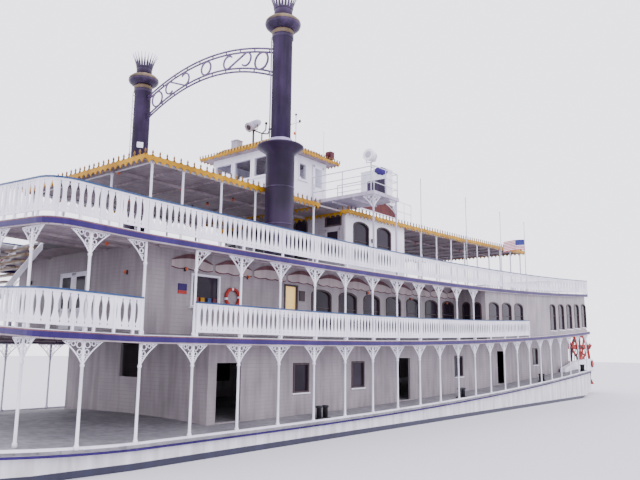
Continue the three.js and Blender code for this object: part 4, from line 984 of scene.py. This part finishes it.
def add_serving_window(shape, place):
    """A white-framed opening with a counter and a few bright things standing in it."""
    add_window(shape, place, 1.28, 1.0, 2.1, 0, "glass", "white")
    shape.stroke([(-0.7, 0.96), (0.7, 0.96)], 0.05, shifted(place, 0.1), 0.24, "white")
    for u, finish in SERVING:
        shape.stroke([(u, 1.02), (u, 1.32)], 0.16, shifted(place, -0.02), 0.05, finish)


SALOON_WINDOWS = [column(5.33 + 0.98 * i) for i in range(7)]
SHOULDER_WINDOWS = [column(12.45) - 1.89 * i for i in range(3)]
STERN_WINDOWS = [STERN + 0.77 + 1.79 * i for i in range(5)]
TEXAS_WINDOWS = [TEXAS_FRONT - d for d in (1.4, 3.42)]
MAIN_WINDOWS = [column(n) for n in (4.5, 6.5, 11.5, 17.5)]
for side, s in SIDES:
    shape = Shape()
    add_side_windows(shape, s, DECK_2, SALOON_HALF, SALOON_WINDOWS, 1.32, 0.35, 2.06)
    # A narrow pane that glows yellow: painted light, not a lamp
    add_side_windows(shape, s, DECK_2, SALOON_HALF, [column(4.315)], 0.75, 0.9, 2.12, 0, "yellow_light")
    add_serving_window(shape, side_place(s, column(2.0), DECK_2, SALOON_HALF))
    add_side_windows(shape, s, DECK_2, SALOON_AFT_HALF, SHOULDER_WINDOWS, 1.32, 0.35, 2.12)
    add_side_windows(shape, s, DECK_2, SALOON_AFT_HALF, STERN_WINDOWS, 1.05, 0.35, 2.15)
    for n in range(1, 12):
        add_frieze(shape, side_place(s, column(n + 0.5) - 0.35, DECK_2, SALOON_HALF), 1.86)
    for x in WALL_LAMPS:
        add_wall_lamp(shape, side_wall(s, x, 8.0, SALOON_HALF))
    add_life_ring(shape, side_wall(s, 15.67, 7.15, SALOON_HALF))
    for x, low, high, wide, finish in WALL_PLATES:
        place = side_wall(s, x, 0, SALOON_HALF + 0.02)
        shape.plate(rect(-wide / 2, wide / 2, low, high), place, 0.03, finish)
    shape.piece(f"saloon_windows_{side}")
    shape = Shape()
    add_end_windows(shape, DECK_2, SALOON_SHOULDER, 1, (s * 4.72, s * 5.42), 0.42, 0.35, 2.06)
    shape.piece(f"shoulder_windows_{side}")
    shape = Shape()
    add_side_windows(shape, s, DECK_3, TEXAS_HALF, TEXAS_WINDOWS, 1.23, 0.55, 2.58)
    lamp = [(-0.06, -0.1), (0.06, -0.1), (0.08, 0.08), (-0.08, 0.08)]
    shape.plate(lamp, side_wall(s, 6.11, 10.65, TEXAS_HALF + 0.06), 0.12, "dark")
    shape.piece(f"texas_windows_{side}")
    shape = Shape()
    add_side_windows(shape, s, MAIN_DECK, MAIN_HALF, MAIN_WINDOWS, 0.9, 0.9, 2.0, 0)
    shape.piece(f"main_windows_{side}")

shape = Shape()
add_end_windows(shape, DECK_2, SALOON_BACK, -1, (-4, -2, 0, 2, 4), 1.32, 0.35, 2.15)
for at in (-3.18, 3.18):
    add_wall_lamp(shape, cross_wall(at, 7.8, SALOON_FRONT))
shape.piece("saloon_windows_ends")
shape = Shape()
add_end_windows(shape, DECK_3, TEXAS_FRONT, 1, (-1.39, 1.39), 0.8, 0.75, 2.72)
add_end_windows(shape, DECK_3, TEXAS_FRONT, 1, (-3.42, 3.42), 0.9, 2.3, 2.72, 0, sill=False)
add_end_windows(shape, DECK_3, TEXAS_BACK, -1, (-2.6, 2.6), 1.1, 0.35, 2.06)
shape.piece("texas_windows_ends")

# Pilothouse glazing, seen through, in white frames
shape = Shape()
for at in (-1.32, 0, 1.32):
    for front, facing in ((PILOT_FRONT, 1), (PILOT_BACK, -1)):
        add_window(shape, cross_wall(at, BRIDGE, front, facing), 1.12, 0.95, 1.9, 0, "clear", "white")
for s in (1, -1):
    for d, width in ((0.85, 0.8), (1.97, 0.52)):
        place = side_wall(s, PILOT_FRONT - d, BRIDGE, PILOT_HALF)
        add_window(shape, place, width, 1.05, 1.85, 0, "clear", "white")
shape.piece("pilothouse_windows")


# Doors: frames round a large pane, and a brass knob, riding with each leaf
def full_box(node):
    return ([c / SCALE for c in corner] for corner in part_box(node))


def dress_door(node, pane_low, pane, trim):
    """Adds a frame and a pane to both faces of a leaf, and a knob, from the frame's box."""
    (x0, y0, z0), (x1, y1, z1) = full_box(node)
    shape = Shape()
    thin_x = x1 - x0 < y1 - y0
    wide = (y1 - y0) if thin_x else (x1 - x0)
    half, high = wide / 2 - 0.03, z1 - z0 - 0.03
    for sign in (1, -1):
        def place(u, v, w, sign=sign):
            if thin_x:
                return ((x1 if sign > 0 else x0) + sign * w, (y0 + y1) / 2 + sign * u, z0 + v)
            return ((x0 + x1) / 2 - sign * u, (y1 if sign > 0 else y0) + sign * w, z0 + v)
        for bar in ((-half, 0.09 - half, 0.03, high), (half - 0.09, half, 0.03, high),
                    (-half, half, 0.03, 0.17), (-half, half, high - 0.09, high),
                    (-half, half, pane_low - 0.09, pane_low)):
            shape.plate(rect(*bar), place, 0.012, trim)
        shape.plate(rect(0.15 - half, half - 0.15, pane_low + 0.03, high - 0.14), place, 0.006, pane)
    shape.lathe([(0.012, -0.03), (0.025, 0.0), (0.012, 0.03)], "ring", 8, place(half - 0.05, 0.98, 0.02))
    shape.piece(f"{node}_trim", body=node)


for side, s in SIDES:
    dress_door(f"saloon_door_{side}", 0.75, "glass", "white")
    # The texas doors' trim takes the darker shade paint: painted shade
    dress_door(f"texas_door_{side}", 0.85, "glass", "shade")
    # The pilothouse doors' panes are pale glass: a painted reflection of the sky
    dress_door(f"pilothouse_door_{side}", 0.8, "painted_sky_glass", "white")


# Bridge wings: brackets and bearers under them, round pipe rails and drum searchlights
WING_FRONT, WING_BACK = FIRST_COLUMN - 12.0, FIRST_COLUMN - 14.1
WING_FOOT = BRIDGE - 0.16
PIPE_TOP = BRIDGE + 1.16
for side, s in SIDES:
    shape = Shape()
    for x, inward in ((WING_FRONT - 0.1, -1), (WING_BACK + 0.1, 1)):
        for along, half in (((1, 0), inward), ((0, 1), -s)):
            add_bracket(shape, x, s * (HALF_BEAM - 0.12), WING_FOOT, along, half)
    # Bearers under the wing, in the fascia paint: painted shade
    for y in (s * 2.55, s * 3.7, s * 4.85):
        shape.box(WING_BACK + 0.08, WING_FRONT - 0.08, y - 0.04, y + 0.04, WING_FOOT - 0.1, WING_FOOT + 0.01,
                  "painted_shade_fascia")
    shape.piece(f"wing_brackets_{side}")
    shape = Shape()
    x0, x1, y0, y1 = WING_BACK + 0.06, WING_FRONT - 0.06, 2.5 * s, (HALF_BEAM - 0.06) * s
    for z, radius in ((BRIDGE + 0.4, 0.018), (BRIDGE + 0.78, 0.018), (PIPE_TOP, 0.024)):
        shape.tube([(x0, y0, z), (x0, y1, z), (x1, y1, z), (x1, y0, z)], radius, "steel", 8, smooth=False)
    for x, y in [(x, y) for x in (x0, x1) for y in (y0, (y0 + y1) / 2, y1)] + [((x0 + x1) / 2, y1)]:
        shape.pole(x, y, BRIDGE, PIPE_TOP, 0.024, "steel", 8)
    x, y, z = lamp = (x1 - 0.22, y1 - 0.3 * s, BRIDGE + 1.72)
    shape.pole(x, y, BRIDGE, z - 0.3, 0.032, "steel", 8)
    shape.tube([(x, y, PIPE_TOP), (x, y1, PIPE_TOP)], 0.02, "steel")
    add_drum(shape, lamp, 0.0, WING_DRUM, "bright")
    add_drum(shape, lamp, 0.0, [(0.24, 0.23), (0.12, 0.26)], "locker")
    yoke = [(-0.29, 0.0), (-0.25, -0.3), (0.25, -0.3), (0.29, 0.0)]
    shape.tube([(x, y + across, z + up) for across, up in yoke], 0.02, "locker")
    shape.piece(f"wing_rail_{side}_pipes", [f"wing_rail_{side}"])

# Cabinet on the port wing: a lidded box with a dark panel
shape = Shape()
x0, x1, y0, y1, cabinet_top = WING_FRONT - 1.75, WING_FRONT - 1.14, 4.55, 5.97, BRIDGE + 1.34
shape.box(x0 + 0.01, x1 - 0.015, y0 + 0.01, y1 - 0.01, BRIDGE + 0.001, cabinet_top - 0.07, "bright")
for low, high, inset in ((-0.08, -0.03, 0.0), (-0.03, 0.0, 0.06)):
    shape.box(x0 + inset, x1 - inset, y0 + inset, y1 - inset, cabinet_top + low, cabinet_top + high,
              "bright")
shape.box(x1 - 0.02, x1 - 0.002, y0 + 0.38, y1 - 0.05, BRIDGE + 0.08, BRIDGE + 0.8, "stack")
shape.box(x1 - 0.02, x1 - 0.004, y0 + 0.06, y0 + 0.32, BRIDGE + 0.08, BRIDGE + 1.2, "white")
shape.piece("cabinet_dressed", replaces=["cabinet"])

# Blue canvas cover, rolled up over the top edge of the cabinet's front: a lumpy roll, closed at its ends
# Its middle ring, and how far it bulges ahead and up
COVER_MIDDLE, COVER_OUT, COVER_UP = 7, 0.12, 0.19
shape = Shape()
rings = []
for k, y in enumerate(steps(y1 - 0.62, y1 + 0.08, 0.05)):
    end = math.sqrt(max(0.12, 1 - ((k - COVER_MIDDLE) / 7.2) ** 2))
    middle = cabinet_top - 0.06 - 0.012 * k
    rings.append([(x1 - 0.02 + (COVER_OUT + 0.015 * math.sin(5 * a + k)) * end * math.cos(a), y,
                   middle + (COVER_UP + 0.02 * math.sin(4 * a - 1.3 * k)) * end * math.sin(a))
                  for a in around(20)])
shape.loft(rings, "cover", True)
cover = shape.piece("cabinet_cover")

# Blank red sign board over the aft roof, in a white frame on two legs, and a small pipe rail beside it
SIGN_X, SIGN_Y, SIGN_FOOT, SIGN_TOP = TEXAS_BACK + 1.25, 3.2, 0.55, 1.28
SIGN_ROOF = ROOF + sheer(SIGN_X)


def sign_place(u, v, w):
    return (SIGN_X - u, SIGN_Y + w, SIGN_ROOF + v)


shape = Shape()
rim = rect(-1.8, 1.8, SIGN_FOOT, SIGN_TOP)
shape.plate(rim, sign_place, 0.04, "sign")
for a, b in zip(rim, rim[1:] + rim[:1]):
    inner = [(u * (1 - 0.03 / abs(u)), v + (0.03 if v < 1 else -0.03)) for u, v in (a, b)]
    shape.stroke(inner, 0.06, sign_place, 0.06, "white")
for u in (-1.5, 1.5):
    foot = ROOF + sheer(SIGN_X - u) - SIGN_ROOF
    shape.stroke([(u, foot), (u, 0.6)], 0.06, sign_place, 0.05, "white")
shape.piece("sign_board_framed", ["sign_board"])
shape = Shape()
PIPE_POSTS, PIPE_BARS = (0.85, 1.6, 2.36), (12.95, 13.5)
for z in PIPE_BARS:
    shape.tube([(x, SIGN_Y, z) for x in PIPE_POSTS], 0.022, "white")
for x in PIPE_POSTS:
    shape.pole(x, SIGN_Y, ROOF + sheer(x) - 0.02, PIPE_BARS[1], 0.022, "white")
shape.piece("roof_pipe_rail")


# Boarded ceilings under the two upper decks, on lengthwise bearers
def add_ceiling(shape, level, xs, ys, bearers, deep, well=None):
    """Thin boards just under a deck, between xs and ys; well (x0, x1, half) is a stair opening left out."""
    under = level - SLAB
    for x0, x1 in zip(xs, xs[1:]):
        for y0, y1 in zip(ys, ys[1:]):
            if well and x1 > well[0] and x0 < well[1] and abs(y0 + y1) / 2 < well[2]:
                continue
            corners = [(x, y, under + rise(x, y)) for x, y in rect(x0, x1, y0, y1)]
            # Boards and bearers take the darker soffit paint: painted shade under the deck
            shape.loft([[(x, y, z + h) for x, y, z in corners] for h in (-0.03, -0.012)], "painted_shade_soffit")
    for y in bearers:
        shape.ribbon([(x, y) for x in xs], 0.03, under - deep, under - 0.02, "painted_shade_soffit")


WELL = (FIRST_COLUMN + 0.2, FIRST_COLUMN + 2.4, 1.1)
CEILING_YS = [-5.3, -3.0, -1.1, 0.0, 1.1, 3.0, 5.3]
BEARERS = [s * y for y in (1.9, 3.2, 4.6, 5.6) for s in (1, -1)]
for name, level, back, well in (("promenade_ceiling_3", DECK_3, SALOON_FRONT, WELL),
                                ("foredeck_ceiling_2", DECK_2, column(2), None)):
    shape = Shape()
    add_ceiling(shape, level, steps(back + 0.02, DECK_FRONT - 0.25), CEILING_YS, BEARERS, 0.11, well)
    shape.piece(name)
for side, s in SIDES:
    shape = Shape()
    for level, x0, x1, inner in ((DECK_3, SALOON_SHOULDER + 0.02, SALOON_FRONT, 4.24),
                                 (DECK_2, STERN + 0.7, column(2), 4.54)):
        add_ceiling(shape, level, steps(x0, x1), [s * inner, s * 5.9], [s * 4.8, s * 5.5], 0.1)
    shape.piece(f"side_ceilings_{side}")

# Lamps under the forward and aft roofs and under deck 3
ROOF_LAMPS = [(19.22, 1.8), (16.27, 1.75), (13.73, 2.06), (13.78, 0.5), (9.93, 3.3), (-2.0, 1.8),
              (-8.0, 1.8)]
DECK_LAMP = (20.62, 3.51)
shape = Shape()
for x, y in ROOF_LAMPS:
    for s in (1, -1):
        at = (x, s * y, CEILING_3 + sheer(x))
        shape.lathe([(0.02, -0.15), (0.06, -0.13), (0.075, -0.09), (0.05, -0.06)], "amber", 12, at)
        shape.lathe([(0.05, -0.06), (0.04, -0.05), (0.04, 0.01)], "dark", 8, at)
for s in (1, -1):
    at = (DECK_LAMP[0], s * DECK_LAMP[1], DECK_3 - SLAB + rise(*DECK_LAMP))
    shape.lathe([(0.02, -0.15), (0.06, -0.13), (0.07, -0.08), (0.04, -0.05), (0.04, 0.01)], "amber", 12, at)
shape.piece("ceiling_lamps")


# Stair: pale stringers and worn wooden treads with brass nosings
(x0, y0, z0), (x1, y1, z1) = full_box("bow_stair")
TREADS = 12
shape = Shape()
for s in (1, -1):
    stringer = [(x0, z1), (x0, z1 - 0.3), (x1 - 0.2, z0), (x1, z0)]
    shape.plate(stringer, lambda u, v, w, y=s * (y1 - 0.03): (u, y + w, v), 0.06, "bright")
for i in range(1, TREADS):
    z = z0 + (z1 - z0) * i / TREADS
    x = x1 - 0.16 - (x1 - x0 - 0.3) * i / TREADS
    shape.box(x - 0.13, x + 0.13, 0.05 - y1, y1 - 0.05, z - 0.045, z, "tread")
    shape.box(x + 0.115, x + 0.135, 0.05 - y1, y1 - 0.05, z - 0.05, z + 0.004, "ring")
shape.piece("bow_stair_dressed", ["bow_stair"])


# Paddle wheel: iron rings and bolts on both faces of its three frames, caps on the shaft's ends
WHEEL_X, WHEEL_Z, WHEEL_HALF = -25.55, 4.4, 4.3
FRAME_Y = WHEEL_HALF - 0.15
shape = Shape()
for y in (-FRAME_Y, 0.0, FRAME_Y):
    for way in (1, -1):
        face = y + way * 0.085
        for radius, width in ((1.45, 0.1), (2.5, 0.08)):
            shape.stroke(ring_points(0, 0, radius, 36), width,
                         lambda u, v, w: (WHEEL_X + u, face + w, WHEEL_Z + v), 0.03, "iron", closed=True)
        for a in around(12):
            for r in (0.9, 1.45, 2.5, 2.95):
                shape.lathe([(0.045, -0.02), (0.045, 0.02), (0.02, 0.035)], "iron", 6,
                            (WHEEL_X + r * math.cos(a), y + way * 0.1, WHEEL_Z + r * math.sin(a)), "y")
for way in (1, -1):
    cap = [(r, way * h) for r, h in ((0.12, 5.08), (0.3, 5.09), (0.3, 5.13), (0.1, 5.14))]
    shape.lathe(cap, "iron", 16, (WHEEL_X, 0, WHEEL_Z), "y")
shape.piece("wheel_ironwork", body="wheel")


# Main deck: a blue line, a white rub rail and pairs of mooring bitts
BITTS = (FIRST_COLUMN + 4.2, 12.0, 0.0, -12.0, STERN + 1.0)


def main_half(x):
    """Half the main deck's width, which draws in towards the bow."""
    u = min(1.0, max(0.0, (x - FIRST_COLUMN) / (BOW_TIP - FIRST_COLUMN)))
    return HALF_BEAM * max(0.1, (1 - u ** 2.4) ** 0.62)


for side, s in SIDES:
    shape = Shape()
    bow_xs = [BOW_TIP - 0.1 - 8.0 * (i / 20) ** 1.4 for i in range(21)]
    path = [(x, s * (main_half(x) - 0.02)) for x in bow_xs + steps(FIRST_COLUMN - 1, STERN + 0.3, 1.5)]
    shape.ribbon(path, 0.03, MAIN_DECK - 0.16, MAIN_DECK - 0.1, "blue")
    shape.ribbon([(x, y - s * 0.06) for x, y in path], 0.05, MAIN_DECK - 0.01, MAIN_DECK + 0.06, "white")
    for x in BITTS:
        y = s * (main_half(x) - 0.45)
        z = MAIN_DECK + rise(x, y)
        for dx in (-0.2, 0.2):
            shape.lathe([(0.1, -0.02), (0.1, 0.4), (0.14, 0.43), (0.14, 0.48), (0.09, 0.5)], "iron", 12,
                        (x + dx, y, z))
        shape.box(x - 0.4, x + 0.4, y - 0.14, y + 0.14, z - 0.03, z + 0.04, "iron")
    shape.piece(f"main_deck_fittings_{side}")

# Flagstaff ball
shape = Shape()
ball = [(0.03, -0.03), (0.07, 0.0), (0.07, 0.03), (0.03, 0.06)]
shape.lathe(ball, "gold", 10, (STERN + 0.3, 0, DECK_3 + 2.86))
shape.piece("flagstaff_ball")


# Flag: a small sheet on the aftermost port pole, streaming in slow waves; stripes and a blue corner
FLAG_LENGTH, FLAG_LOW, FLAG_HIGH = 1.4, 11.95, 12.62
FLAG_HEADING = (0.62, -0.785)
STRIPES, COLUMNS = 13, 28


def flag_point(t, height):
    """t from 0 at the hoist to 1 at the fly, height from 0 to 1."""
    swing = 0.09 * math.sin(7.2 * t) * t
    x = POLES[3] + 0.045 + FLAG_HEADING[0] * FLAG_LENGTH * t - FLAG_HEADING[1] * swing
    y = RAIL_Y + FLAG_HEADING[1] * FLAG_LENGTH * t + FLAG_HEADING[0] * swing
    return (x, y, FLAG_LOW + (FLAG_HIGH - FLAG_LOW) * height - 0.2 * t * t)


shape = Shape()
rows = STRIPES + 1
shape.verts = [flag_point(i / COLUMNS, j / STRIPES) for i in range(COLUMNS + 1) for j in range(rows)]
for i in range(COLUMNS):
    for j in range(STRIPES):
        corner = i / COLUMNS < 0.4 and j >= 6
        first = i * rows + j
        shape.faces.append((first, first + rows, first + rows + 1, first + 1))
        shape.slots.append("flag_blue" if corner else ("flag_red" if j % 2 == 0 else "flag_white"))
        shape.smooth.append(True)
flag = shape.piece("flag_cloth", ["flag"])
middle = [flag_point(i / COLUMNS, 0.5) for i in range(COLUMNS + 1)]
run = sum(math.dist(a, b) for a, b in zip(middle, middle[1:]))


# Finish of the frame's own solids that stay in sight; {side} stands for port and starboard
OWN_FINISH = {
    "hull": "hull",
    "deck": "main_deck deck_2 deck_3",
    # the walls under the decks take the siding paint, darkened as painted shade
    "painted_shade_siding": "main_house saloon_front saloon_stern saloon_{side} saloon_aft_{side}",
    # the texas front and its doors are white walls in painted shade
    "shade": "texas_front texas_door_{side}",
    "bright": "texas_back texas_{side} pilothouse",
    "painted_shade_fascia": "bridge",
    "red": "paddle_wheel",
    "white": "wheel_beam_{side} saloon_door_{side} pilothouse_door_{side}",
    "iron": "rudder_{side} wheel_engine capstan",
    "steel": "flagstaff",
}
for finish, names in OWN_FINISH.items():
    for node in {name.format(side=side) for name in names.split() for side, s in SIDES}:
        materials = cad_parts[node].data.materials
        materials.clear()
        materials.append(MATERIALS[finish])


# Stage: a pale floor at the waterline, a pale sky and soft lights
FLOOR_HALF = 120
LIGHTS = (("key", 3500, (22, 34, 40), 25), ("fill", 800, (34, -10, 20), 20))


def stage():
    mesh = bpy.data.meshes.new("floor")
    corners = rect(-FLOOR_HALF, FLOOR_HALF, -FLOOR_HALF, FLOOR_HALF)
    mesh.from_pydata([(x, y, WATERLINE * SCALE) for x, y in corners], [], [(0, 1, 2, 3)])
    grey = Finish("floor_grey", 0.8)
    grey.set("Base Color", (0.62, 0.61, 0.64, 1))
    mesh.materials.append(grey.material)
    put("floor", mesh)
    world = bpy.data.worlds.new("sky")
    world.use_nodes = True
    background = world.node_tree.nodes["Background"]
    background.inputs["Color"].default_value = (0.9, 0.89, 1.0, 1)
    background.inputs["Strength"].default_value = 3.1
    bpy.context.scene.world = world
    for name, energy, place, size in LIGHTS:
        light = bpy.data.lights.new(name, "AREA")
        light.energy = energy
        light.size = size
        lamp = put(name, light)
        lamp.location = place
        lamp.rotation_euler = (Vector((0, 0, 4)) - Vector(place)).to_track_quat("-Z", "Y").to_euler()


stage()
